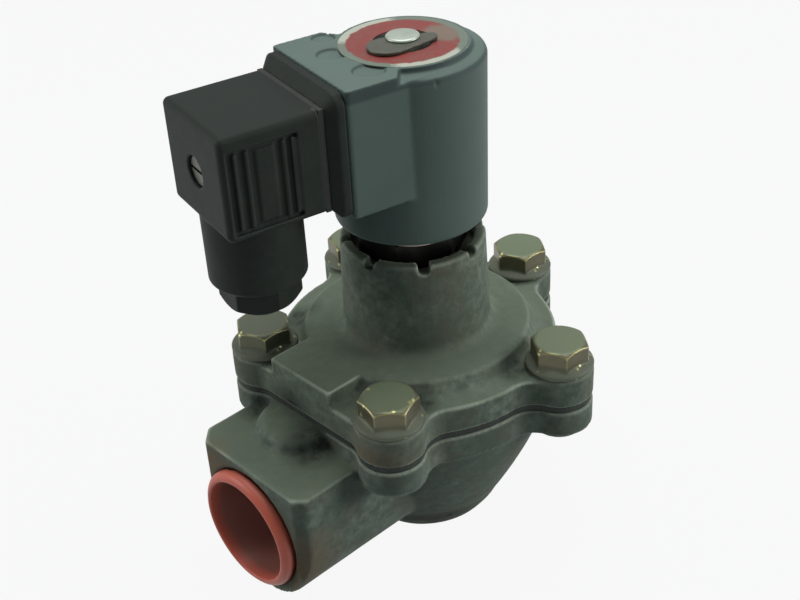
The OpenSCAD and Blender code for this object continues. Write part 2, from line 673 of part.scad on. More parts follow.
module coil_housing() color([0.36, 0.41, 0.42])
    difference() {
        union() {
            rotate_extrude() polygon([[0, coil_z], [coil_d / 2 - coil_draft / 2 - 0.6, coil_z],
                [coil_d / 2 - coil_draft / 2, coil_z + 0.6], [coil_d / 2, chamfer_z],
                [coil_d / 2 - 0.5, chamfer_z + 0.9], [top_disc_d / 2 + 0.4, shoulder_z],
                [top_disc_d / 2, shoulder_z],
                [top_disc_d / 2, coil_top_z - 0.2], [top_disc_d / 2 - 0.2, coil_top_z], [0, coil_top_z]]);
            along_connector() translate([0, 0, nose_z]) linear_extrude(nose_h) offset(r = 0.8, $fn = 16)
                translate([-nose_w / 2 + 0.8, 0]) square([nose_w - 1.6, nose_reach - 0.8]);
        }
        // Bore for the core tube, the pocket for the steel shell and the seat of the label
        translate([0, 0, coil_z - over]) cylinder(r = tube_r + slack, h = coil_top_z);
        translate([0, 0, shell_z - fit]) cylinder(r = shell_r + fit, h = shell_h + 2 * fit);
        translate([0, 0, coil_top_z - 0.3]) cylinder(d = top_disc_d - 1.6, h = over);
        // The coil's lowered edge, carried on into the corners of the nose
        along_connector() for (side = [0, 180])
            rotate([0, 0, side == 0 ? -ledge_turn : 180 - ledge_turn])
                rotate_extrude(angle = 2 * ledge_turn) polygon([[top_disc_d / 2, shoulder_z],
                    [top_disc_d / 2 + 0.4, shoulder_z], [nose_reach, chamfer_z - 0.2],
                    [nose_reach, coil_top_z + over], [top_disc_d / 2, coil_top_z + over]]);
        // Tunnels for the blades and the screw
        along_connector() {
            for (b = BLADES)
                translate([b[0] - blade_w / 2 - fit, shell_r + 0.5, screw_z + b[1] - blade_t / 2 - fit])
                    cube([blade_w + 2 * fit, nose_reach, blade_t + 2 * fit]);
            connector_bar(screw_r + fit, nose_reach - 5, nose_reach + over, screw_z);
        }
    }

module flux_shell() color([0.5, 0.5, 0.5])
    difference() {
        translate([0, 0, shell_z]) cylinder(r = shell_r, h = shell_h);
        translate([0, 0, shell_z + shell_wall]) cylinder(r = shell_r - shell_wall, h = shell_h);
        translate([0, 0, shell_z - over]) cylinder(r = tube_r + slack, h = shell_h);
    }

module flux_lid() color([0.5, 0.5, 0.5])
    translate([0, 0, shell_z + shell_h - lid_t]) difference() {
        cylinder(r = shell_r - shell_wall - fit, h = lid_t);
        translate([0, 0, -over]) cylinder(r = tube_r + slack, h = lid_t + 2 * over);
    }

module bobbin() color([0.85, 0.84, 0.78])
    translate([0, 0, bobbin_z]) rotate_extrude() polygon([[tube_r + run, 0],
        [bobbin_r, 0], [bobbin_r, bobbin_flange_t],
        [tube_r + run + bobbin_wall, bobbin_flange_t],
        [tube_r + run + bobbin_wall, bobbin_h - bobbin_flange_t],
        [bobbin_r, bobbin_h - bobbin_flange_t], [bobbin_r, bobbin_h], [tube_r + run, bobbin_h]]);

module winding() color([0.65, 0.36, 0.2])
    translate([0, 0, bobbin_z + bobbin_flange_t + fit]) difference() {
        cylinder(r = bobbin_r - 0.8, h = bobbin_h - 2 * bobbin_flange_t - 2 * fit);
        translate([0, 0, -over]) cylinder(r = tube_r + run + bobbin_wall + fit, h = bobbin_h + over);
    }

module coil_label() color([0.72, 0.2, 0.18])
    translate([0, 0, coil_top_z - 0.3]) difference() {
        cylinder(d = top_disc_d - 1.8, h = 0.25);
        translate([0, 0, -over]) cylinder(r = tube_r + slack, h = 3 * over);
    }

// Spring steel clip with a broad lobe and a narrow tip, pushed from the front into the hub's groove
module retaining_clip() color([0.42, 0.42, 0.36])
    rotate([0, 0, 48]) translate([0, 0, clip_z]) linear_extrude(clip_t) difference() {
        hull() {
            translate([-clip_lobe_r * 0.75, -clip_lobe_r * 0.9]) circle(r = clip_lobe_r, $fn = 48);
            translate([clip_lobe_r + 1.2, -0.3]) circle(r = clip_tip_r, $fn = 32);
        }
        circle(r = hub_r - 0.9 + fit);
        translate([-(hub_r - 1.2), 0]) square([2 * (hub_r - 1.2), 2 * clip_lobe_r]);
    }

// Black base between the coil's nose and the plug, tapering to the plug's size
module terminal_base() color([0.07, 0.07, 0.07])
    along_connector() difference() {
        hull() {
            for (x = [-1, 1], z = [nose_z + 0.2 + base_corner_r, coil_top_z - 0.4 - base_corner_r])
                translate([x * (nose_w / 2 - 0.4 - base_corner_r), 0, 0])
                    connector_bar(base_corner_r, nose_reach, nose_reach + 2, z, $fn = 24);
            for (x = [-1, 1], z = [plug_z + 0.4 + plug_edge_r, plug_top_z - plug_edge_r])
                translate([x * (plug_w / 2 - plug_edge_r), 0, 0])
                    connector_bar(plug_edge_r, nose_reach + base_t - 1, nose_reach + base_t, z, $fn = 24);
        }
        for (b = BLADES)
            translate([b[0] - blade_w / 2 - fit, nose_reach - over, screw_z + b[1] - blade_t / 2 - fit])
                cube([blade_w + 2 * fit, base_t + 2 * over, blade_t + 2 * fit]);
        connector_bar(screw_r + fit, nose_reach - over, nose_reach + base_t + over, screw_z);
    }

module terminal_pins() color([0.75, 0.74, 0.7])
    along_connector() for (b = BLADES)
        translate([b[0] - blade_w / 2, shell_r + 0.8, screw_z + b[1] - blade_t / 2])
            cube([blade_w, plug_back + insert_depth - 3 - shell_r - 0.8, blade_t]);

module connector_gasket() color([0.05, 0.05, 0.05])
    along_connector() difference() {
        translate([-plug_w / 2 + 0.2, nose_reach + base_t, plug_z + 0.2])
            cube([plug_w - 0.4, gasket_t, plug_h - 0.4]);
        for (b = BLADES)
            translate([b[0] - blade_w / 2 - fit, nose_reach + base_t - over,
                       screw_z + b[1] - blade_t / 2 - fit])
                cube([blade_w + 2 * fit, gasket_t + 2 * over, blade_t + 2 * fit]);
        connector_bar(screw_r + fit, nose_reach + base_t - over, plug_back + over, screw_z);
    }

module terminal_insert() color([0.12, 0.12, 0.12])
    along_connector() difference() {
        translate([-plug_w / 2 + plug_wall + 0.3, plug_back, plug_z + plug_wall + 0.3])
            cube([plug_w - 2 * plug_wall - 0.6, insert_depth, plug_h - 2 * plug_wall - 0.6]);
        for (b = BLADES)
            translate([b[0] - blade_w / 2 - fit, plug_back - over, screw_z + b[1] - blade_t / 2 - fit])
                cube([blade_w + 2 * fit, insert_depth - 1, blade_t + 2 * fit]);
        connector_bar(screw_r + fit, plug_back - over, plug_back + insert_depth + over, screw_z);
    }

// Moulded plug with its neck, ribbed side panels and the recess of the screw
module plug_housing() color([0.08, 0.08, 0.08])
    along_connector() difference() {
        edge = plug_edge_r;
        union() {
            hull() {
                for (x = [-1, 1], z = [plug_z + edge, plug_top_z - edge]) {
                    translate([x * (plug_w / 2 - edge), plug_front - edge, z]) sphere(r = edge, $fn = 16);
                    translate([x * (plug_w / 2 - edge), plug_back, z]) rotate([-90, 0, 0])
                        cylinder(r = edge, h = 1, $fn = 16);
                }
            }
            translate([0, plug_mid, neck_z]) rotate_extrude() polygon([
                [0, 0], [neck_d / 2 - 1, 0], [neck_d / 2, 1],
                [neck_d / 2, neck_len + 3], [0, neck_len + 3]]);
        }
        translate([-plug_w / 2 + plug_wall, plug_back - over, plug_z + plug_wall])
            cube([plug_w - 2 * plug_wall, plug_depth - plug_wall - 5 + over, plug_h - 2 * plug_wall]);
        // Passage of the cable, with the pocket for the gland's parts
        translate([0, plug_mid, neck_z - over])
            cylinder(r = gland_pocket_r, h = washer_z + gland_washer_h + grommet_h + slack - neck_z + over);
        translate([0, plug_mid - 1, neck_z]) cylinder(r = 5.5, h = neck_len + 2 * plug_wall);
        connector_bar(screw_r + fit, plug_back, plug_front + over, screw_z);
        connector_bar(screw_recess_r, plug_front - screw_recess_depth, plug_front + over, screw_z);
        for (side = [0, 1])
            mirror([side, 0, 0]) side_panel();
    }

// Recessed panel on the plug's side, with upright ribs and a raised middle left standing in it
module side_panel() {
    rib_w = panel_w / 17;
    translate([plug_w / 2 - panel_depth, plug_front - plug_edge_r - panel_w, plug_z + plug_edge_r])
    difference() {
        cube([panel_depth + over, panel_w, panel_h]);
        for (k = [0.03, 0.17, 0.69, 0.85])
            translate([-over, k * panel_w, 1]) cube([over + panel_depth * 0.75, rib_w, panel_h - 2]);
        translate([-over, 0.32 * panel_w, 1.5])
            cube([over + panel_depth * 0.5, 0.27 * panel_w, panel_h - 3]);
    }
}

module plug_screw() color([0.55, 0.55, 0.52])
    along_connector() difference() {
        union() {
            connector_bar(screw_r, nose_reach - 4.5, plug_front - screw_recess_depth, screw_z);
            connector_bar(screw_recess_r - 0.4, plug_front - screw_recess_depth, plug_front - 0.8, screw_z);
        }
        translate([-screw_recess_r, plug_front - 1.7, screw_z - screw_recess_r / 10])
            cube([2 * screw_recess_r, screw_recess_depth, screw_recess_r / 5]);
    }

module gland_grommet() color([0.06, 0.06, 0.06])
    along_connector() translate([0, plug_mid, washer_z + gland_washer_h + 2 * fit]) difference() {
        cylinder(r = gland_pocket_r - fit, h = grommet_h);
        translate([0, 0, -over]) cylinder(r = cable_bore_r, h = grommet_h + 2 * over);
    }

module gland_washer() color([0.15, 0.15, 0.15])
    along_connector() translate([0, plug_mid, washer_z]) difference() {
        cylinder(r = gland_pocket_r - fit, h = gland_washer_h);
        translate([0, 0, -over]) cylinder(r = cable_bore_r + 0.5, h = gland_washer_h + 2 * over);
    }

module gland_nut() color([0.07, 0.07, 0.07])
    along_connector() translate([0, plug_mid, gland_z]) difference() {
        union() {
            intersection() {
                cylinder(r = gland_af / 2 / cos(30), h = gland_len - 0.2, $fn = 6);
                cylinder(r1 = gland_end_r, r2 = gland_end_r + gland_len * 1.35, h = gland_len);
            }
            translate([0, 0, 2.5]) cylinder(r = gland_pocket_r - fit, h = washer_z - fit - gland_z - 2.5);
        }
        translate([0, 0, -over]) cylinder(r = cable_bore_r + 0.6, h = gland_len + 6);
    }

module inlet_plug() color([0.68, 0.16, 0.1])
    inlet_axis() translate([0, 0, inlet_face_y]) rotate_extrude() polygon([
        [0, -cap_depth], [port_minor_d / 2 - 1.2, -cap_depth], [port_minor_d / 2 - 0.3, -cap_depth + 1],
        [port_minor_d / 2 - 0.15, 0], [cap_rim_d / 2, 0], [cap_rim_d / 2, cap_rim_t * 0.45],
        [cap_rim_d / 2 - 0.7, cap_rim_t * 0.7], [cap_bore_d / 2 + 1.2, cap_rim_t],
        [cap_bore_d / 2 + 0.6, cap_rim_t], [cap_bore_d / 2, cap_rim_t - 0.6],
        [cap_bore_d / 2 - 0.4, -cap_depth + 1.6], [0, -cap_depth + 1.6]]);

body();
cover();
cover_bolts();
diaphragm();
support_plate();
retaining_disc();
centre_bolt();
centre_nut();
main_spring();
pilot_seat();
pilot_seat_ring();
core_tube();
tube_nut();
fixed_core();
shading_ring();
plunger();
plunger_seal();
plunger_spring();
wave_washer();
coil_housing();
flux_shell();
flux_lid();
bobbin();
winding();
coil_label();
retaining_clip();
terminal_base();
terminal_pins();
connector_gasket();
terminal_insert();
plug_housing();
plug_screw();
gland_grommet();
gland_washer();
gland_nut();
inlet_plug();
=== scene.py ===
import math

import bmesh
import bpy
from mathutils import Matrix, Vector, noise
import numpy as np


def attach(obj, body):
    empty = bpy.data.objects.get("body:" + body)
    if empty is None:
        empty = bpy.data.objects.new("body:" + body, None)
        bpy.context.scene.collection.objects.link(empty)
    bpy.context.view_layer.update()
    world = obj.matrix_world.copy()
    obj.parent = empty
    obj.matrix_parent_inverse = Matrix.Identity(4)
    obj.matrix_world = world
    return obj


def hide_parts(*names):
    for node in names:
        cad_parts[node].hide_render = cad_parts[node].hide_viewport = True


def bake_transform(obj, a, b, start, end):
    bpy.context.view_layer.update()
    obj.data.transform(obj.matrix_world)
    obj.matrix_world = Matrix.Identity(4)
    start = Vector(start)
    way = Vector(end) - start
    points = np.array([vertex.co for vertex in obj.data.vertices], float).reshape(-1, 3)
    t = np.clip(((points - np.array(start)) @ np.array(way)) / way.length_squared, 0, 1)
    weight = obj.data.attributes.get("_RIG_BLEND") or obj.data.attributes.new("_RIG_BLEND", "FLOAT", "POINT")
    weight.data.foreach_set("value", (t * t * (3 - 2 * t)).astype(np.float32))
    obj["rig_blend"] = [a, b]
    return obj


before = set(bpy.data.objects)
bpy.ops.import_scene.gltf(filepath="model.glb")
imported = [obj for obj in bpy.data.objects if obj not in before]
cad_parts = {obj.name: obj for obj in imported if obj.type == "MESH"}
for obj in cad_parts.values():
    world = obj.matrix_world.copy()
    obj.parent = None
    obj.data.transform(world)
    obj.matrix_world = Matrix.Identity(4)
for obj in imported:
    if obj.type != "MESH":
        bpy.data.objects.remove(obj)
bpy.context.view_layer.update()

# Body casting
# The lower half of the valve: an aluminium die casting with the inlet boss, the outlet stub,
# the bowl and the lower flange. As cast outside, machined only on its ports and its joint face.
# It takes the cover bolts in five tapped lugs.
MM = 0.001


def srgb(code):
    """Linear colour of an sRGB hex value."""
    parts = [int(code[i:i + 2], 16) / 255 for i in (1, 3, 5)]
    return [p / 12.92 if p <= 0.04045 else ((p + 0.055) / 1.055) ** 2.4 for p in parts] + [1.0]


def add(tree, kind, inputs=None, **settings):
    """Adds a node, with its settings and its input values or links."""
    made = tree.nodes.new(kind)
    for key, value in settings.items():
        setattr(made, key, value)
    for key, value in (inputs or {}).items():
        if isinstance(value, bpy.types.NodeSocket):
            tree.links.new(value, made.inputs[key])
        else:
            made.inputs[key].default_value = value
    return made


def new_material(name):
    """An empty material with its shader, and the socket of the object's coordinates."""
    mat = bpy.data.materials.new(name)
    mat.use_nodes = True
    tree = mat.node_tree
    return mat, tree, tree.nodes["Principled BSDF"], add(tree, "ShaderNodeTexCoord").outputs["Object"]


def cast_finish(name, clean, dusty, grime, bright, shift, dirt_and_shade_spots=()):
    """Die-cast aluminium after years in a dusty shop: dull and blotchy, worn bright on its edges with a painted
    highlight there, and painted shade in its hollows.

    The dirt and shade spots are places and reaches in mm, each with the colour that lies there: thick oil and
    rust, and at some places a painted shadow.
    """
    mat, tree, shader, place = new_material(name)
    moved = add(tree, "ShaderNodeMapping", {"Vector": place, "Location": (shift, shift, 0)}).outputs[0]
    # Blotches of oxide about 18 mm across, over mottling of about 3 mm
    blotch = add(tree, "ShaderNodeTexNoise", {"Vector": moved, "Scale": 55.0, "Detail": 5.0, "Roughness": 0.6})
    mottle = add(tree, "ShaderNodeTexNoise", {"Vector": moved, "Scale": 320.0, "Detail": 4.0, "Roughness": 0.65})
    # Sand-like skin of the casting, drawn at 0.5 mm so that it shows
    sand = add(tree, "ShaderNodeTexNoise", {"Vector": moved, "Scale": 1900.0, "Detail": 2.0})
    stain = add(tree, "ShaderNodeMapRange", {"Value": blotch.outputs["Fac"], "From Min": 0.42, "From Max": 0.66})
    speck = add(tree, "ShaderNodeMapRange", {"Value": mottle.outputs["Fac"], "From Min": 0.38, "From Max": 0.68})
    # Faint rusty brown from the water that ran over it, in patches of about 12 mm
    run = add(tree, "ShaderNodeTexNoise", {"Vector": moved, "Scale": 85.0, "Detail": 6.0, "Roughness": 0.7})
    tint = add(tree, "ShaderNodeMapRange", {"Value": run.outputs["Fac"], "From Min": 0.48, "From Max": 0.7,
                                            "To Max": 0.55})
    # Dust lies on what faces up
    shape = add(tree, "ShaderNodeNewGeometry")
    upward = add(tree, "ShaderNodeSeparateXYZ", {"Vector": shape.outputs["Normal"]})
    settled = add(tree, "ShaderNodeMapRange", {"Value": upward.outputs["Z"], "From Min": 0.55, "From Max": 1.0,
                                               "To Max": 0.75})
    base = add(tree, "ShaderNodeMix", {"Factor": speck.outputs[0], "A": srgb(grime), "B": srgb(clean)},
               data_type="RGBA")
    aged = add(tree, "ShaderNodeMix", {"Factor": stain.outputs[0], "A": base.outputs["Result"], "B": srgb(grime)},
               data_type="RGBA")
    browned = add(tree, "ShaderNodeMix", {"Factor": tint.outputs[0], "A": aged.outputs["Result"],
                                          "B": srgb("#6f695a")}, data_type="RGBA")
    dust = add(tree, "ShaderNodeMix", {"Factor": settled.outputs[0], "A": browned.outputs["Result"],
                                       "B": srgb(dusty)}, data_type="RGBA")
    # Dirt, and painted shadow at some places, each fading out over its reach
    coat = dust.outputs["Result"]
    patchy = add(tree, "ShaderNodeMapRange", {"Value": mottle.outputs["Fac"], "From Min": 0.3, "From Max": 0.7,
                                              "To Min": 0.25})
    for spot, reach, spot_colour in dirt_and_shade_spots:
        away = add(tree, "ShaderNodeVectorMath", {0: place, 1: [v * MM for v in spot]}, operation="DISTANCE")
        near = add(tree, "ShaderNodeMapRange", {"Value": away.outputs["Value"], "From Min": reach * MM,
                                                "From Max": 0.35 * reach * MM})
        share = add(tree, "ShaderNodeMath", {0: near.outputs[0], 1: patchy.outputs[0]}, operation="MULTIPLY")
        layer = add(tree, "ShaderNodeMix", {"Factor": share.outputs[0], "A": coat, "B": srgb(spot_colour)},
                    data_type="RGBA")
        coat = layer.outputs["Result"]
    # Bare metal worn on edges with a painted highlight over it, and painted shade with grime in corners
    edge = add(tree, "ShaderNodeMapRange", {"Value": shape.outputs["Pointiness"], "From Min": 0.515,
                                            "From Max": 0.56})
    corner = add(tree, "ShaderNodeMapRange", {"Value": shape.outputs["Pointiness"], "From Min": 0.485,
                                              "From Max": 0.42})
    rubbed = add(tree, "ShaderNodeMapRange", {"Value": blotch.outputs["Fac"], "From Min": 0.4, "From Max": 0.6,
                                              "To Min": 0.35, "To Max": 1.0})
    pale_edges_and_painted_light = add(tree, "ShaderNodeMath", {0: edge.outputs[0], 1: rubbed.outputs[0]}, operation="MULTIPLY")
    grime_and_painted_shade = add(tree, "ShaderNodeMix", {"Factor": corner.outputs[0], "A": coat, "B": srgb("#1f231e")},
                data_type="RGBA")
    final = add(tree, "ShaderNodeMix", {"Factor": pale_edges_and_painted_light.outputs[0], "A": grime_and_painted_shade.outputs["Result"],
                                        "B": srgb(bright)}, data_type="RGBA")
    tree.links.new(final.outputs["Result"], shader.inputs["Base Color"])
    rough = add(tree, "ShaderNodeMapRange", {"Value": mottle.outputs["Fac"], "To Min": 0.6, "To Max": 0.85})
    tree.links.new(rough.outputs[0], shader.inputs["Roughness"])
    shader.inputs["Metallic"].default_value = 0.05
    shader.inputs["Specular IOR Level"].default_value = 0.1
    lumps = add(tree, "ShaderNodeBump", {"Height": mottle.outputs["Fac"], "Strength": 0.25, "Distance": 0.0006})
    grain = add(tree, "ShaderNodeBump", {"Height": sand.outputs["Fac"], "Strength": 0.22, "Distance": 0.0002,
                                         "Normal": lumps.outputs["Normal"]})
    tree.links.new(grain.outputs["Normal"], shader.inputs["Normal"])
    return mat


def link(name, mesh):
    """A new object in the scene with this mesh."""
    obj = bpy.data.objects.new(name, mesh)
    bpy.context.scene.collection.objects.link(obj)
    return obj


def settle(obj):
    """Turns the result of the modifiers into the object's plain mesh."""
    bpy.context.view_layer.update()
    mesh = bpy.data.meshes.new_from_object(obj.evaluated_get(bpy.context.evaluated_depsgraph_get()))
    obj.modifiers.clear()
    obj.data = mesh
    return obj


def on_circle(r, z, steps):
    """Evenly spaced points round the axis, from a radius and a height in mm."""
    return [(r * MM * math.cos(a), r * MM * math.sin(a), z * MM)
            for a in (2 * math.pi * i / steps for i in range(steps))]


def skin(name, rings, closed=False):
    """A solid with its skin drawn over rings of points, from the first to the last or all the way round."""
    bm = bmesh.new()
    rings = [[bm.verts.new(point) for point in ring] for ring in rings]
    steps = len(rings[0])
    pairs = list(zip(rings, rings[1:])) + ([(rings[-1], rings[0])] if closed else [])
    for low, high in pairs:
        for i in range(steps):
            j = (i + 1) % steps
            bm.faces.new((low[i], low[j], high[j], high[i]))
    bmesh.ops.remove_doubles(bm, verts=bm.verts, dist=1e-7)
    bmesh.ops.recalc_face_normals(bm, faces=bm.faces)
    mesh = bpy.data.meshes.new(name)
    bm.to_mesh(mesh)
    bm.free()
    return link(name, mesh)


def lathe(name, profile, steps=96):
    """A turned solid from radius and height pairs in mm, from axis to axis."""
    return skin(name, [on_circle(r, z, steps) for r, z in profile])


def cut(obj, tool, operation="DIFFERENCE"):
    """Cuts the tool away from the object, or keeps only what both fill, and deletes the tool."""
    step = obj.modifiers.new("cut", "BOOLEAN")
    step.object = tool
    step.operation = operation
    step.solver = "EXACT"
    settle(obj)
    bpy.data.objects.remove(tool)
    return obj


def soften(obj, voxel, rounds, faces):
    """Gives a sharp solid the rounded edges of a casting or moulding."""
    grid = obj.modifiers.new("grid", "REMESH")
    grid.mode = "VOXEL"
    grid.voxel_size = voxel * MM
    relax = obj.modifiers.new("relax", "SMOOTH")
    relax.factor = 0.5
    relax.iterations = rounds
    settle(obj)
    thin = obj.modifiers.new("thin", "DECIMATE")
    thin.ratio = min(1.0, faces / (2 * len(obj.data.polygons)))
    settle(obj)
    obj.data.shade_smooth()
    return obj


def cad_copy(name, node):
    """A merged copy of a CAD node's mesh."""
    bm = bmesh.new()
    bm.from_mesh(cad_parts[node].data)
    bmesh.ops.remove_doubles(bm, verts=bm.verts, dist=1e-6)
    mesh = bpy.data.meshes.new(name)
    bm.to_mesh(mesh)
    bm.free()
    return link(name, mesh)


def uneven(obj, depth, size):
    """Pushes the surface in and out by a little, as cast metal is."""
    mesh = obj.data
    normals = [v.normal.copy() for v in mesh.vertices]
    for vertex, normal in zip(mesh.vertices, normals):
        vertex.co += normal * noise.noise(vertex.co / (size * MM)) * depth * MM
    mesh.update()


OIL_AND_SHADE, RUSTY = "#262c27", "#7b6753"
# The spots at (10, -16) and (17, -9) on the bowl's foot are painted shadow where it meets the floor, and the one
# at (5, -42) is painted shadow at the right of the gate lump; the others are oil and rust.
body_metal = cast_finish("aged_die_cast_body", "#869286", "#6b7665", "#606b60", "#b4bfae", 0.31,
                         [((5, -42, 41), 9, OIL_AND_SHADE), ((-17, -40, 40), 7, OIL_AND_SHADE), ((10, -16, 1), 12, OIL_AND_SHADE),
                          ((17, -9, 2), 10, OIL_AND_SHADE), ((15, -58.5, 18), 15, RUSTY), ((20, -30, 36), 8, RUSTY),
                          ((-14, -60, 34), 9, RUSTY)])
casting = cad_copy("body_casting", "body")
cut(casting, lathe("outlet_thread_room", [(0, -1), (16.75, -1), (16.75, 15), (0, 15)]))
soften(casting, 0.6, 4, 170000)
uneven(casting, 0.07, 9)
casting.data.materials.append(body_metal)
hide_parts("body")
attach(casting, "valve_body")

# Outlet thread
# The parallel pipe thread in the outlet, cut with a tap: eleven turns to the inch.
# It shows only from below, as bright new-cut metal with a little oil.
PITCH, THREAD_DEPTH, THREAD_R, THREAD_BACK_R = 2.309, 1.45, 15.17, 17.1
THREAD_LOW, THREAD_LONG, THREAD_ROWS, THREAD_STEPS = 0.3, 14.6, 56, 72


def thread_row(z):
    """The points of the thread at one height: a wave of the pitch that goes round once."""
    row = []
    for i in range(THREAD_STEPS):
        turn = z / PITCH - i / THREAD_STEPS
        wave = abs(2 * (turn - math.floor(turn)) - 1)
        depth = THREAD_DEPTH * min(1, max(0, (wave - 0.12) / 0.76))
        # It starts wide, with a chamfer 1.4 mm high
        r = max(THREAD_R + depth, THREAD_R + THREAD_DEPTH * max(0, 1.4 - z))
        a = 2 * math.pi * i / THREAD_STEPS
        row.append((r * MM * math.cos(a), r * MM * math.sin(a), z * MM))
    return row


turns_z = [THREAD_LOW + THREAD_LONG * i / THREAD_ROWS for i in range(THREAD_ROWS + 1)]
outlet_thread = skin("outlet_thread", [thread_row(z) for z in turns_z]
                     + [on_circle(THREAD_BACK_R, z, THREAD_STEPS) for z in (turns_z[-1], turns_z[0])], closed=True)
outlet_thread.data.shade_smooth()

cut_metal, tree, shader, place = new_material("machined_aluminium")
lines = add(tree, "ShaderNodeTexNoise", {"Vector": place, "Scale": 700.0, "Detail": 3.0})
tone = add(tree, "ShaderNodeMix", {"Factor": lines.outputs["Fac"], "A": srgb("#7d817b"), "B": srgb("#a3a79f")},
           data_type="RGBA")
tree.links.new(tone.outputs["Result"], shader.inputs["Base Color"])
shader.inputs["Metallic"].default_value = 0.9
shader.inputs["Roughness"].default_value = 0.38
outlet_thread.data.materials.append(cut_metal)
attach(outlet_thread, "valve_body")

# Diaphragm
# Fabric-reinforced rubber, clamped between the flanges. Only its cut edge shows, as a dark line
# in the joint. When the valve lifts, its clamped edge stays and its middle is drawn upwards.
def dusty_rubber(name, black, dust):
    """Black rubber gone grey: matt, with pale dust in patches of about 4 mm."""
    mat, tree, shader, place = new_material(name)
    patch = add(tree, "ShaderNodeTexNoise", {"Vector": place, "Scale": 240.0, "Detail": 5.0, "Roughness": 0.7})
    share = add(tree, "ShaderNodeMapRange", {"Value": patch.outputs["Fac"], "From Min": 0.45, "From Max": 0.75,
                                             "To Max": 0.7})
    tone = add(tree, "ShaderNodeMix", {"Factor": share.outputs[0], "A": srgb(black), "B": srgb(dust)},
               data_type="RGBA")
    tree.links.new(tone.outputs["Result"], shader.inputs["Base Color"])
    shader.inputs["Roughness"].default_value = 0.75
    pores = add(tree, "ShaderNodeTexNoise", {"Vector": place, "Scale": 1500.0, "Detail": 2.0})
    bump = add(tree, "ShaderNodeBump", {"Height": pores.outputs["Fac"], "Strength": 0.2, "Distance": 0.0001})
    tree.links.new(bump.outputs["Normal"], shader.inputs["Normal"])
    return mat


def dress(node, mat):
    """Gives a CAD node that keeps its own shape its material."""
    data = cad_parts[node].data
    data.materials.clear()
    data.materials.append(mat)


rubber = dusty_rubber("dusty_nitrile_rubber", "#0f110e", "#262a25")
for node in ("pilot_seat_ring", "plunger_seal", "gland_grommet"):
    dress(node, rubber)
CLAMPED_R, MIDDLE_R = 27.5, 19.2
diaphragm = cad_copy("rubber_diaphragm", "diaphragm")
diaphragm.data.materials.append(dusty_rubber("dust_caked_rubber_edge", "#1d221d", "#48524a"))
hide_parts("diaphragm")
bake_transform(diaphragm, "valve_body", "main_valve", start=(CLAMPED_R * MM, 0, 0), end=(MIDDLE_R * MM, 0, 0))
# It bends along a line from edge to middle, so its share is set again by the distance from the axis
shares = diaphragm.data.attributes["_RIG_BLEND"].data
for vertex, share in zip(diaphragm.data.vertices, shares):
    inward = min(1, max(0, (CLAMPED_R - math.hypot(vertex.co.x, vertex.co.y) / MM) / (CLAMPED_R - MIDDLE_R)))
    share.value = inward * inward * (3 - 2 * inward)

# Main valve and pilot parts
# Turned and pressed steel, spring wire and brass inside the housings. They show only through
# the outlet or when the parts are drawn apart, so most of the CAD solids stay.
def turned_metal(name, low, high, metallic, roughness):
    """Turned or drawn metal: fine rings of tool marks at 0.6 mm, drawn coarse so that they show."""
    mat, tree, shader, place = new_material(name)
    marks = add(tree, "ShaderNodeTexWave", {"Vector": place, "Scale": 260.0, "Distortion": 1.5, "Detail": 2.0},
                wave_type="BANDS", bands_direction="Z")
    cloud = add(tree, "ShaderNodeTexNoise", {"Vector": place, "Scale": 300.0, "Detail": 4.0})
    tone = add(tree, "ShaderNodeMix", {"Factor": cloud.outputs["Fac"], "A": srgb(low), "B": srgb(high)},
               data_type="RGBA")
    tree.links.new(tone.outputs["Result"], shader.inputs["Base Color"])
    bump = add(tree, "ShaderNodeBump", {"Height": marks.outputs["Fac"], "Strength": 0.12, "Distance": 0.00005})
    tree.links.new(bump.outputs["Normal"], shader.inputs["Normal"])
    shader.inputs["Metallic"].default_value = metallic
    shader.inputs["Roughness"].default_value = roughness
    return mat


stainless = turned_metal("turned_stainless_steel", "#6d716d", "#a2a6a1", 1.0, 0.34)
for node in ("support_plate", "retaining_disc", "centre_bolt", "centre_nut", "fixed_core", "plunger"):
    dress(node, stainless)
spring_wire = turned_metal("drawn_spring_wire", "#7c7f7b", "#b1b4ae", 1.0, 0.28)
# Each spring stands against the housing with its upper end and is pressed together from below
for node, name, mover in (("main_spring", "closing_spring", "main_valve"),
                          ("plunger_spring", "return_spring", "plunger_unit")):
    spring = cad_copy(name, node)
    spring.data.materials.append(spring_wire)
    heights = [vertex.co.z for vertex in spring.data.vertices]
    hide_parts(node)
    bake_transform(spring, "valve_body", mover, start=(0, 0, max(heights)), end=(0, 0, min(heights)))
brass = turned_metal("dull_turned_brass", "#7d6a3c", "#a8935a", 1.0, 0.4)
dress("pilot_seat", brass)
# The tube nut is painted near black as painted shade in the gap under the coil
dress("tube_nut", turned_metal("steel_painted_shadow_black", "#1b1c1a", "#2c2d29", 0.8, 0.4))
copper = turned_metal("bare_copper", "#8a4c32", "#b5694a", 1.0, 0.35)
for node in ("shading_ring", "winding"):
    dress(node, copper)
plain_steel = turned_metal("pressed_steel", "#5b5d5b", "#868884", 1.0, 0.42)
for node in ("flux_shell", "flux_lid"):
    dress(node, plain_steel)
tin = turned_metal("tinned_blade", "#8d8d83", "#b9b9ad", 1.0, 0.3)
dress("terminal_pins", tin)
nylon, tree, shader, place = new_material("natural_nylon")
haze = add(tree, "ShaderNodeTexNoise", {"Vector": place, "Scale": 400.0, "Detail": 3.0})
tone = add(tree, "ShaderNodeMix", {"Factor": haze.outputs["Fac"], "A": srgb("#c9c5b2"), "B": srgb("#dedac9")},
           data_type="RGBA")
tree.links.new(tone.outputs["Result"], shader.inputs["Base Color"])
shader.inputs["Roughness"].default_value = 0.5
dress("bobbin", nylon)

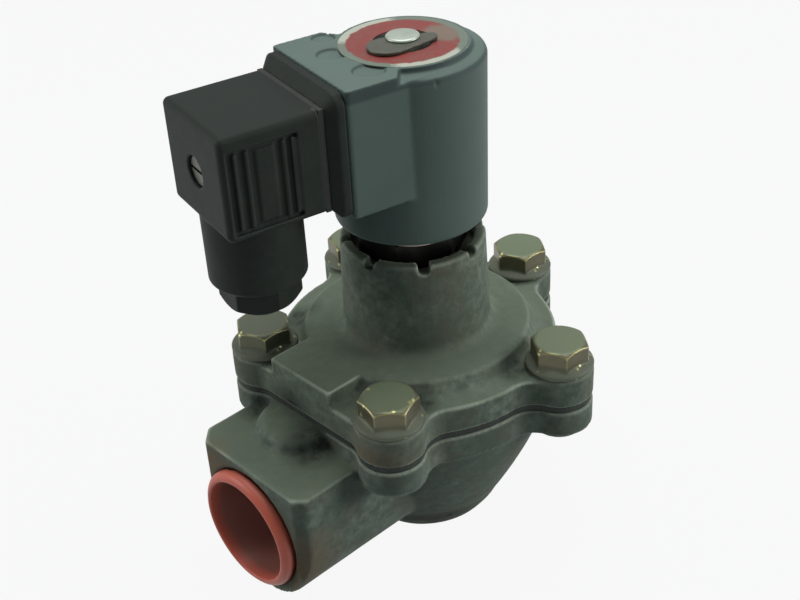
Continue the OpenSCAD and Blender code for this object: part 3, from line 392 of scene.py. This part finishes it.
# Cover casting
# The upper half: flange with round pockets for the bolt heads, a platform, a pad over the inlet
# and the tower that the coil stands on. The same alloy as the body, cast a little brighter.
cover_metal = cast_finish("aged_die_cast_cover", "#8a9688", "#667162", "#626d60", "#bac5b3", 1.73,
                          [((-6, -40, 46), 8, OIL_AND_SHADE), ((-26, -18, 53), 8, OIL_AND_SHADE), ((31, 3, 53), 6, OIL_AND_SHADE),
                           ((24, -22, 53), 5, OIL_AND_SHADE), ((24, -36, 45), 10, RUSTY)])
cover = cad_copy("cover_casting", "cover")
soften(cover, 0.5, 3, 180000)
uneven(cover, 0.05, 8)
cover.data.materials.append(cover_metal)
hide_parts("cover")
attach(cover, "valve_body")

# Cover bolts
# Five M8 flanged hexagon bolts, forged, zinc plated and passivated yellow, now dull with dust.
# Their chamfered edges carry a painted bright gold glint.
BOLT_SEAT = 53.1
BOLT_CIRCLE_R = 79.5 / 2
ACROSS_FLATS = 13
HEAD_TURNS = (25, 40, 25, 49, 25)


def hexagon(name, across, low, high, chamfer):
    """A six-sided head with a turned chamfer on its upper end."""
    r = across / 2 / math.cos(math.pi / 6)
    bm = bmesh.new()
    ends = [[bm.verts.new(point) for point in on_circle(r, z, 6)] for z in (low, high)]
    for i in range(6):
        bm.faces.new((ends[0][i], ends[0][(i + 1) % 6], ends[1][(i + 1) % 6], ends[1][i]))
    bm.faces.new(ends[0][::-1])
    bm.faces.new(ends[1])
    mesh = bpy.data.meshes.new(name)
    bm.to_mesh(mesh)
    bm.free()
    tool = lathe(name + "_turning", [(0, low - 1), (r + 1, low - 1), (r + 1, high - chamfer),
                                     (across / 2 - 0.45, high), (across / 2 - 1.6, high + 0.12), (0, high + 0.12)])
    return cut(link(name, mesh), tool, "INTERSECT")


def smooth_between(obj, degrees):
    """Smooth shading, except over edges sharper than this."""
    obj.data.shade_smooth()
    obj.data.set_sharp_from_angle(angle=math.radians(degrees))


def round_edges(obj, width):
    """Rounds the sharp edges of a piece and smooths its shading between them."""
    edge = obj.modifiers.new("edge", "BEVEL")
    edge.width = width * MM
    edge.segments = 2
    edge.limit_method = "ANGLE"
    edge.angle_limit = 0.5
    settle(obj)
    smooth_between(obj, 50)


zinc, tree, shader, place = new_material("yellow_zinc_plated_steel")
cloud = add(tree, "ShaderNodeTexNoise", {"Vector": place, "Scale": 260.0, "Detail": 5.0, "Roughness": 0.65})
fine = add(tree, "ShaderNodeTexNoise", {"Vector": place, "Scale": 1400.0, "Detail": 2.0})
tone = add(tree, "ShaderNodeMix", {"Factor": cloud.outputs["Fac"], "A": srgb("#4a4838"), "B": srgb("#75725a")},
           data_type="RGBA")
shape = add(tree, "ShaderNodeNewGeometry")
upward = add(tree, "ShaderNodeSeparateXYZ", {"Vector": shape.outputs["Normal"]})
settled = add(tree, "ShaderNodeMapRange", {"Value": upward.outputs["Z"], "From Min": 0.8, "From Max": 1.0,
                                           "To Max": 0.8})
dust = add(tree, "ShaderNodeMix", {"Factor": settled.outputs[0], "A": tone.outputs["Result"],
                                   "B": srgb("#65735a")}, data_type="RGBA")
# The washer face lies in dust, and a painted glint of bright gold lies on the corners
height = add(tree, "ShaderNodeSeparateXYZ", {"Vector": place})
low = add(tree, "ShaderNodeMapRange", {"Value": height.outputs["Z"], "From Min": 0.0566, "From Max": 0.0546,
                                       "To Max": 0.75})
caked = add(tree, "ShaderNodeMix", {"Factor": low.outputs[0], "A": dust.outputs["Result"], "B": srgb("#535c4f")},
            data_type="RGBA")
edge = add(tree, "ShaderNodeMapRange", {"Value": shape.outputs["Pointiness"], "From Min": 0.515,
                                        "From Max": 0.56})
# The bolt beside the plug, 234 degrees round the circle, is made darker
away = add(tree, "ShaderNodeVectorMath", {0: place, 1: (-0.0234, -0.0322, 0.058)}, operation="DISTANCE")
darkened_bolt = add(tree, "ShaderNodeMapRange", {"Value": away.outputs["Value"], "From Min": 0.013, "From Max": 0.01,
                                          "To Max": 0.6})
caked = add(tree, "ShaderNodeMix", {"Factor": darkened_bolt.outputs[0], "A": caked.outputs["Result"],
                                    "B": srgb("#454b3e")}, data_type="RGBA")
clear = add(tree, "ShaderNodeMath", {0: low.outputs[0], 1: -0.8, 2: edge.outputs[0]}, operation="MULTIPLY_ADD",
            use_clamp=True)
glint = add(tree, "ShaderNodeMix", {"Factor": clear.outputs[0], "A": caked.outputs["Result"],
                                    "B": srgb("#c3bf86")}, data_type="RGBA")
tree.links.new(glint.outputs["Result"], shader.inputs["Base Color"])
matt = add(tree, "ShaderNodeMath", {0: settled.outputs[0], 1: low.outputs[0]}, operation="MAXIMUM")
matt = add(tree, "ShaderNodeMath", {0: matt.outputs[0], 1: edge.outputs[0]}, operation="SUBTRACT", use_clamp=True)
metal = add(tree, "ShaderNodeMapRange", {"Value": matt.outputs[0], "To Min": 0.7, "To Max": 0.08})
tree.links.new(metal.outputs[0], shader.inputs["Metallic"])
rubbed = add(tree, "ShaderNodeMapRange", {"Value": cloud.outputs["Fac"], "To Min": 0.26, "To Max": 0.46})
rough = add(tree, "ShaderNodeMath", {0: matt.outputs[0], 1: 0.35, 2: rubbed.outputs[0]}, operation="MULTIPLY_ADD")
tree.links.new(rough.outputs[0], shader.inputs["Roughness"])
bump = add(tree, "ShaderNodeBump", {"Height": fine.outputs["Fac"], "Strength": 0.15, "Distance": 0.0001})
tree.links.new(bump.outputs["Normal"], shader.inputs["Normal"])

one_bolt = hexagon("one_bolt", ACROSS_FLATS, 1.5, 7.0, chamfer=1.5)
round_edges(one_bolt, 0.22)
washer_face = lathe("washer_face", [(0, -20), (3.3, -20), (4.0, -19.2), (4.0, 0), (8.3, 0), (8.65, 0.35),
                                    (8.6, 0.95), (8.2, 1.3), (6.4, 2.4), (0, 2.4)], 72)
smooth_between(washer_face, 50)
bm = bmesh.new()
bm.from_mesh(one_bolt.data)
bm.from_mesh(washer_face.data)
bm.to_mesh(one_bolt.data)
bm.free()
bpy.data.objects.remove(washer_face)
soften(one_bolt, 0.28, 2, 30000)

# The five places, each with the turn at which its bolt came tight
places = bpy.data.meshes.new("bolt_places")
places.from_pydata([(BOLT_CIRCLE_R * MM * math.cos(math.radians(90 + 72 * i)),
                     BOLT_CIRCLE_R * MM * math.sin(math.radians(90 + 72 * i)), BOLT_SEAT * MM)
                    for i in range(5)], [], [])
turn = places.attributes.new("turn", "FLOAT", "POINT")
for i, degrees in enumerate(HEAD_TURNS):
    turn.data[i].value = math.radians(degrees)
bolts = link("flanged_bolts", places)
tree = bpy.data.node_groups.new("bolts_on_lugs", "GeometryNodeTree")
tree.interface.new_socket("Geometry", in_out="INPUT", socket_type="NodeSocketGeometry")
bolt_in = tree.interface.new_socket("Bolt", in_out="INPUT", socket_type="NodeSocketObject")
finish_in = tree.interface.new_socket("Finish", in_out="INPUT", socket_type="NodeSocketMaterial")
tree.interface.new_socket("Geometry", in_out="OUTPUT", socket_type="NodeSocketGeometry")
entry = add(tree, "NodeGroupInput")
shape = add(tree, "GeometryNodeObjectInfo", {"Object": entry.outputs["Bolt"]})
angle = add(tree, "GeometryNodeInputNamedAttribute", {"Name": "turn"}, data_type="FLOAT")
spin = add(tree, "ShaderNodeCombineXYZ", {"Z": angle.outputs["Attribute"]})
copies = add(tree, "GeometryNodeInstanceOnPoints", {"Points": entry.outputs["Geometry"],
                                                    "Instance": shape.outputs["Geometry"],
                                                    "Rotation": spin.outputs["Vector"]})
solid = add(tree, "GeometryNodeRealizeInstances", {"Geometry": copies.outputs["Instances"]})
plated = add(tree, "GeometryNodeSetMaterial", {"Geometry": solid.outputs["Geometry"],
                                               "Material": entry.outputs["Finish"]})
add(tree, "NodeGroupOutput", {"Geometry": plated.outputs["Geometry"]})
layout = bolts.modifiers.new("layout", "NODES")
layout.node_group = tree
layout[bolt_in.identifier] = one_bolt
layout[finish_in.identifier] = zinc
settle(bolts)
bpy.data.objects.remove(one_bolt)
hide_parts("cover_bolts")
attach(bolts, "valve_body")

# Waved washer
# A thin ring of spring steel, pressed into four waves. It bears on the tube nut and on the coil.
# Its colour is painted lighter than the steel's own, so that two of its crests show as painted glints in the gap
# over the tower.
WAVE_LOW, WAVE_HIGH, STRIP = 86.5, 87.8, 0.6
WAVES, WAVE_STEPS = 4, 144


def wave_ring(r, lift):
    """One edge of the strip all the way round. Its waves grow from the inner edge outwards."""
    ring = []
    for i in range(WAVE_STEPS):
        a = 2 * math.pi * i / WAVE_STEPS
        crest = 0.5 + 0.5 * math.cos(WAVES * (a - math.radians(5)))
        z = WAVE_LOW + lift + (WAVE_HIGH - STRIP - WAVE_LOW) * crest * min(1, (r - 6) / 8)
        ring.append((r * MM * math.cos(a), r * MM * math.sin(a), z * MM))
    return ring


strip = ((7.4, 0), (15.6, 0), (16.0, 0.15), (16.0, 0.45), (15.6, STRIP), (7.4, STRIP))
waved = skin("waved_washer", [wave_ring(r, lift) for r, lift in strip], closed=True)
waved.data.shade_smooth()
# Painted lighter than spring steel, as a painted glint in the shaded gap
waved.data.materials.append(turned_metal("spring_steel_painted_glint", "#b09a92", "#dccac2", 0.5, 0.35))
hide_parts("wave_washer")
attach(waved, "valve_body")

# Coil moulding
# Grey glass-filled thermoset moulded round the winding: slightly tapered, with a square nose for
# the terminals, a chamfered upper edge and a raised disc. Matt, with a fine moulded grain.
COIL_EDGE, COIL_TOP = 129.0, 132.0
NOSE_HEADING = 258.5


def along_nose(obj):
    """Turns a piece that was made with the connector along +Y to the coil's own direction."""
    obj.data.transform(Matrix.Rotation(math.radians(NOSE_HEADING - 90), 4, "Z"))
    return obj


def disc_at(name, x, y, r, low, high):
    """A short upright cylinder off the axis."""
    obj = lathe(name, [(0, low), (r, low), (r, high), (0, high)], 48)
    obj.data.transform(Matrix.Translation((x * MM, y * MM, 0)))
    return obj


coil = cad_copy("coil_moulding", "coil_housing")
# Shallow round marks of the ejector pins, and a nick in the edge beside the nose
for x, y, r in ((-9.4, 14.8, 3.9), (3.8, 16.8, 3.5), (13.4, 13.4, 2.9)):
    cut(coil, along_nose(disc_at("pin_mark", x, y, r, COIL_TOP - 0.7, COIL_TOP + 1)))
cut(coil, along_nose(disc_at("nick", -19.2, 3.4, 0.5, COIL_EDGE - 1.2, COIL_EDGE + 1.5)))
soften(coil, 0.42, 2, 180000)

moulded, tree, shader, place = new_material("grey_thermoset_moulding")
cloud = add(tree, "ShaderNodeTexNoise", {"Vector": place, "Scale": 60.0, "Detail": 4.0})
grain = add(tree, "ShaderNodeTexNoise", {"Vector": place, "Scale": 1700.0, "Detail": 2.0})
tone = add(tree, "ShaderNodeMix", {"Factor": cloud.outputs["Fac"], "A": srgb("#54645e"), "B": srgb("#62736c")},
           data_type="RGBA")
shape = add(tree, "ShaderNodeNewGeometry")
# The edges are painted lighter, as a painted highlight
edge = add(tree, "ShaderNodeMapRange", {"Value": shape.outputs["Pointiness"], "From Min": 0.53, "From Max": 0.62,
                                        "To Max": 0.6})
pale_edges_and_painted_light = add(tree, "ShaderNodeMix", {"Factor": edge.outputs[0], "A": tone.outputs["Result"], "B": srgb("#74857d")},
           data_type="RGBA")
# The chamfer and the step under the top disc are painted darker, as painted shade
facing = add(tree, "ShaderNodeSeparateXYZ", {"Vector": shape.outputs["Normal"]})
slanted = add(tree, "ShaderNodeMapRange", {"Value": facing.outputs["Z"], "From Min": 0.95, "From Max": 0.75})
height = add(tree, "ShaderNodeSeparateXYZ", {"Vector": place})
upper = add(tree, "ShaderNodeMapRange", {"Value": height.outputs["Z"], "From Min": 0.1285, "From Max": 0.1293,
                                         "To Max": 0.6})
painted_step_shade = add(tree, "ShaderNodeMath", {0: slanted.outputs[0], 1: upper.outputs[0]}, operation="MULTIPLY")
pale_edges_and_painted_light = add(tree, "ShaderNodeMix", {"Factor": painted_step_shade.outputs[0], "A": pale_edges_and_painted_light.outputs["Result"], "B": srgb("#263436")},
           data_type="RGBA")
tree.links.new(pale_edges_and_painted_light.outputs["Result"], shader.inputs["Base Color"])
shader.inputs["Roughness"].default_value = 0.6
shader.inputs["Specular IOR Level"].default_value = 0.2
bump = add(tree, "ShaderNodeBump", {"Height": grain.outputs["Fac"], "Strength": 0.18, "Distance": 0.0001})
tree.links.new(bump.outputs["Normal"], shader.inputs["Normal"])
coil.data.materials.append(moulded)
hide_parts("coil_housing")
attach(coil, "coil")

# Coil label
# A ring of plastic sheet let into the top of the coil: a pale rim round a red field. Its print
# is left off. The red is faded and scuffed.
label_sheet, tree, shader, place = new_material("faded_red_label")
flat = add(tree, "ShaderNodeVectorMath", {0: place, 1: (1.0, 1.0, 0.0)}, operation="MULTIPLY")
radius = add(tree, "ShaderNodeVectorMath", {0: flat.outputs["Vector"]}, operation="LENGTH")
scuff = add(tree, "ShaderNodeTexNoise", {"Vector": place, "Scale": 420.0, "Detail": 5.0, "Roughness": 0.7})
scuffed = add(tree, "ShaderNodeMapRange", {"Value": scuff.outputs["Fac"], "From Min": 0.48, "From Max": 0.72,
                                           "To Max": 0.7})
red = add(tree, "ShaderNodeMix", {"Factor": scuffed.outputs[0], "A": srgb("#833d38"), "B": srgb("#745a50")},
          data_type="RGBA")


def patch_at(x, y, reach):
    """How near a point of the label is to a patch of it, from 0 at the reach in mm to 1 inside."""
    away = add(tree, "ShaderNodeVectorMath", {0: flat.outputs["Vector"], 1: (x * MM, y * MM, 0)},
               operation="DISTANCE")
    torn = add(tree, "ShaderNodeMath", {0: scuff.outputs["Fac"], 1: 0.006, 2: away.outputs["Value"]},
               operation="MULTIPLY_ADD")
    return add(tree, "ShaderNodeMapRange", {"Value": torn.outputs[0], "From Min": (reach + 4) * MM,
                                            "From Max": (reach + 2) * MM}).outputs[0]


# The red is bleached to beige on one side
red = add(tree, "ShaderNodeMix", {"Factor": patch_at(4, 10, 5), "A": red.outputs["Result"],
                                  "B": srgb("#7a6a5e")}, data_type="RGBA")
fray = add(tree, "ShaderNodeMapRange", {"Value": scuff.outputs["Fac"], "To Min": -0.0009, "To Max": 0.0009})
edge_r = add(tree, "ShaderNodeMath", {0: radius.outputs["Value"], 1: fray.outputs[0]}, operation="ADD")
rim = add(tree, "ShaderNodeMapRange", {"Value": edge_r.outputs[0], "From Min": 0.0129, "From Max": 0.0134})
# The pale rim is worn down to a dull grey green except in two patches
kept = add(tree, "ShaderNodeMath", {0: patch_at(12, -3.4, 8), 1: patch_at(-13.9, -1.2, 9)}, operation="MAXIMUM")
pale = add(tree, "ShaderNodeMix", {"Factor": kept.outputs[0], "A": srgb("#6f7a6e"), "B": srgb("#b2b7a8")},
           data_type="RGBA")
both = add(tree, "ShaderNodeMix", {"Factor": rim.outputs[0], "A": red.outputs["Result"],
                                   "B": pale.outputs["Result"]}, data_type="RGBA")
tree.links.new(both.outputs["Result"], shader.inputs["Base Color"])
shader.inputs["Roughness"].default_value = 0.45
shader.inputs["Specular IOR Level"].default_value = 0.2
dress("coil_label", label_sheet)

# Core tube and clip
# The closed end of the drawn core tube passes through the coil and ends in a grooved hub.
# An oblong clip of spring steel is pushed into the groove and holds the coil down.
core = lathe("drawn_core_tube", [(0, 130.0), (6.2, 130.0), (6.2, 71.0), (10.5, 71.0), (10.5, 72.5), (6.8, 72.5),
                                 (6.8, 130.3), (6.5, 130.9), (5.9, 131.2), (4.0, 131.2), (4.0, 132.1),
                                 (3.35, 132.1), (3.35, 132.95), (3.8, 132.95), (4.0, 133.05), (4.0, 133.3),
                                 (3.8, 133.5), (3.4, 133.6), (0, 133.6)], 72)
smooth_between(core, 50)
core.data.materials.append(turned_metal("dull_nickel_tube", "#9aa397", "#b5bdb1", 0.5, 0.36))
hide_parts("core_tube")
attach(core, "valve_body")
clip_steel, tree, shader, place = new_material("dull_zinc_clip")
cloud = add(tree, "ShaderNodeTexNoise", {"Vector": place, "Scale": 500.0, "Detail": 4.0})
tone = add(tree, "ShaderNodeMix", {"Factor": cloud.outputs["Fac"], "A": srgb("#3e4036"), "B": srgb("#55574b")},
           data_type="RGBA")
tree.links.new(tone.outputs["Result"], shader.inputs["Base Color"])
shader.inputs["Metallic"].default_value = 0.4
shader.inputs["Roughness"].default_value = 0.45
clip = cad_copy("sprung_clip", "retaining_clip")
soften(clip, 0.2, 2, 30000)
# It is pressed from 0.85 mm strip, and its narrow tip is bent up, so a dark gap shows under it
CLIP_LOW, CLIP_HIGH = 132.3, 133.45
GROOVE, CLIP_STRIP, CLIP_HEADING = 132.1, 0.85, 48
across = Vector((math.cos(math.radians(CLIP_HEADING)), math.sin(math.radians(CLIP_HEADING)), 0))
for vertex in clip.data.vertices:
    reach = max(0.0, vertex.co.dot(across) / MM - 2)
    share = (vertex.co.z / MM - CLIP_LOW) / (CLIP_HIGH - CLIP_LOW)
    vertex.co.z = (GROOVE + CLIP_STRIP * share + 0.006 * reach ** 2) * MM
clip.data.materials.append(clip_steel)
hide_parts("retaining_clip")
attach(clip, "valve_body")

# Terminal base and cable plug
# The black base carries the blades. The plug is pushed over them with a flat gasket between and
# held by one long screw. Glass-filled nylon, matt. Its top is painted darker than its sides as painted shade,
# and its edges are painted pale: a painted highlight, with dust on the ridges.
black_nylon, tree, shader, place = new_material("black_nylon_moulding")
cloud = add(tree, "ShaderNodeTexNoise", {"Vector": place, "Scale": 170.0, "Detail": 5.0, "Roughness": 0.65})
fine = add(tree, "ShaderNodeTexNoise", {"Vector": place, "Scale": 1600.0, "Detail": 2.0})
share = add(tree, "ShaderNodeMapRange", {"Value": cloud.outputs["Fac"], "From Min": 0.4, "From Max": 0.75,
                                         "To Max": 0.5})
tone = add(tree, "ShaderNodeMix", {"Factor": share.outputs[0], "A": srgb("#2b302c"), "B": srgb("#3b423d")},
           data_type="RGBA")
# The top is painted darker than the sides, as painted shade
shape = add(tree, "ShaderNodeNewGeometry")
upward = add(tree, "ShaderNodeSeparateXYZ", {"Vector": shape.outputs["Normal"]})
top_painted_darker = add(tree, "ShaderNodeMapRange", {"Value": upward.outputs["Z"], "From Min": 0.5, "From Max": 1.0,
                                           "To Max": 0.85})
top = add(tree, "ShaderNodeMix", {"Factor": top_painted_darker.outputs[0], "A": tone.outputs["Result"],
                                  "B": srgb("#1f2522")}, data_type="RGBA")
# The edges get a painted highlight, with dust on the ridges
edge = add(tree, "ShaderNodeMapRange", {"Value": shape.outputs["Pointiness"], "From Min": 0.515,
                                        "From Max": 0.56, "To Max": 0.6})
pale_edges_and_painted_light = add(tree, "ShaderNodeMix", {"Factor": edge.outputs[0], "A": top.outputs["Result"], "B": srgb("#4a544f")},
           data_type="RGBA")
tree.links.new(pale_edges_and_painted_light.outputs["Result"], shader.inputs["Base Color"])
shader.inputs["Roughness"].default_value = 0.6
shader.inputs["Specular IOR Level"].default_value = 0.12
bump = add(tree, "ShaderNodeBump", {"Height": fine.outputs["Fac"], "Strength": 0.2, "Distance": 0.0001})
tree.links.new(bump.outputs["Normal"], shader.inputs["Normal"])
dress("terminal_insert", black_nylon)
dress("gland_washer", black_nylon)
for node, name, voxel, faces in (("terminal_base", "base_moulding", 0.35, 60000),
                                 ("plug_housing", "plug_moulding", 0.3, 160000),
                                 ("gland_nut", "gland_moulding", 0.22, 60000)):
    piece = cad_copy(name, node)
    soften(piece, voxel, 2, faces)
    piece.data.materials.append(black_nylon)
    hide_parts(node)
    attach(piece, "coil")
dress("connector_gasket", rubber)
dress("plug_screw", turned_metal("dull_zinc_screw", "#4a4c44", "#66685d", 0.8, 0.4))

# Inlet plug
# A thin red polyethylene cup that keeps dirt out of the port in storage. Softly moulded, with
# dust in its bottom, and painted shade inside it.
INLET = (-1.3, -58.2, 21.5)
red_cup = lathe("red_cup", [(0, -14), (13.9, -14), (14.8, -13.1), (15.0, 0.05), (15.9, 0.05), (16.1, 0.3),
                            (16.1, 1.3), (15.9, 1.8), (15.5, 2.3), (14.6, 2.9), (14.2, 2.95), (13.9, 2.8),
                            (13.7, 2.4), (13.0, -11.6), (12.2, -12.4), (0, -12.5)])
red_cup.data.transform(Matrix.Translation([v * MM for v in INLET]) @ Matrix.Rotation(math.pi / 2, 4, "X"))
smooth_between(red_cup, 60)
red_plastic, tree, shader, place = new_material("red_polyethylene")
cloud = add(tree, "ShaderNodeTexNoise", {"Vector": place, "Scale": 150.0, "Detail": 5.0, "Roughness": 0.65})
share = add(tree, "ShaderNodeMapRange", {"Value": cloud.outputs["Fac"], "From Min": 0.45, "From Max": 0.8,
                                         "To Max": 0.5})
tone = add(tree, "ShaderNodeMix", {"Factor": share.outputs[0], "A": srgb("#d0604a"), "B": srgb("#b8675a")},
           data_type="RGBA")
# Deeper inside the cup it is painted darker brown: painted shade with old dust
depth = add(tree, "ShaderNodeSeparateXYZ", {"Vector": place})
inside_shade_and_dust = add(tree, "ShaderNodeMapRange", {"Value": depth.outputs["Y"], "From Min": -0.0604, "From Max": -0.0575,
                                          "To Max": 0.9})
dusty = add(tree, "ShaderNodeMix", {"Factor": inside_shade_and_dust.outputs[0], "A": tone.outputs["Result"],
                                    "B": srgb("#7e5045")}, data_type="RGBA")
tree.links.new(dusty.outputs["Result"], shader.inputs["Base Color"])
shader.inputs["Roughness"].default_value = 0.45
shader.inputs["Subsurface Weight"].default_value = 0.05
red_cup.data.materials.append(red_plastic)
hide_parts("inlet_plug")
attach(red_cup, "valve_body")

# Floor, light and camera
# A pale table and soft studio light from above. The camera stands where the photograph was
# taken, high in front and to the right of the inlet.
def seen_rays(tree):
    """1 for a ray that sees its target straight, in a gloss or through glass, and 0 for one that lights."""
    sight = add(tree, "ShaderNodeLightPath").outputs
    seen = add(tree, "ShaderNodeMath", {0: sight["Is Camera Ray"], 1: sight["Is Glossy Ray"]}, operation="MAXIMUM")
    return add(tree, "ShaderNodeMath", {0: seen.outputs[0], 1: sight["Is Transmission Ray"]},
               operation="MAXIMUM").outputs[0]


bpy.ops.mesh.primitive_plane_add(size=30, location=(0, 0, -0.0002))
floor = bpy.context.object
floor.name = "floor"
paper, tree, shader, place = new_material("pale_floor")
shader.inputs["Base Color"].default_value = srgb("#868e91")
shader.inputs["Roughness"].default_value = 0.9
# Seen straight or in a gloss it is white paper, with the shadow left faint
share = add(tree, "ShaderNodeMath", {0: seen_rays(tree), 1: 0.92}, operation="MULTIPLY")
glow = add(tree, "ShaderNodeEmission", {"Color": srgb("#ffffff"), "Strength": 1.0})
sheet = add(tree, "ShaderNodeMixShader", {0: share.outputs[0], 1: shader.outputs[0], 2: glow.outputs[0]})
tree.links.new(sheet.outputs[0], tree.nodes["Material Output"].inputs["Surface"])
floor.data.materials.append(paper)

world = bpy.data.worlds.new("studio")
bpy.context.scene.world = world
world.use_nodes = True
tree = world.node_tree
tree.nodes.clear()
# It lights the valve dimly and is seen as a pale backdrop
dim = add(tree, "ShaderNodeBackground", {"Color": srgb("#d3e0e6"), "Strength": 0.06})
pale = add(tree, "ShaderNodeBackground", {"Color": srgb("#eef2f2"), "Strength": 0.75})
blend = add(tree, "ShaderNodeMixShader", {0: seen_rays(tree), 1: dim.outputs[0], 2: pale.outputs[0]})
add(tree, "ShaderNodeOutputWorld", {"Surface": blend.outputs[0]})

# Each lamp has its place and width in metres and its power in watts
for name, place, size, power in (("overhead", (-0.1, 0.13, 0.8), 0.7, 5.8),
                                 ("left", (-0.45, -0.5, 0.3), 0.3, 1.5),
                                 ("right", (0.55, 0.42, 0.3), 0.3, 2.2)):
    lamp = bpy.data.lights.new(name, "AREA")
    lamp.size = size
    lamp.energy = power
    holder = bpy.data.objects.new(name, lamp)
    holder.location = place
    holder.rotation_euler = (Vector((0, 0, 0.07)) - Vector(place)).to_track_quat("-Z", "Y").to_euler()
    bpy.context.scene.collection.objects.link(holder)

heading, tilt, roll = math.radians(48), math.radians(32.93), math.radians(3.4)
right = Vector((math.cos(heading), math.sin(heading), 0))
down = Vector((math.sin(heading) * math.sin(tilt), -math.cos(heading) * math.sin(tilt), -math.cos(tilt)))
ahead = Vector((-math.sin(heading) * math.cos(tilt), math.cos(heading) * math.cos(tilt), -math.sin(tilt)))
camera_x = right * math.cos(roll) + down * math.sin(roll)
camera_y = right * math.sin(roll) - down * math.cos(roll)
turned = Matrix((camera_x, camera_y, -ahead)).transposed().to_4x4()
lens = bpy.data.cameras.new("camera")
lens.lens = 60.03
lens.sensor_width = 36
lens.clip_start = 0.01
camera = bpy.data.objects.new("camera", lens)
camera.matrix_world = Matrix.Translation((0.2115, -0.1960, 0.2482)) @ turned
bpy.context.scene.collection.objects.link(camera)
bpy.context.scene.camera = camera
bpy.context.scene.view_settings.view_transform = "Standard"
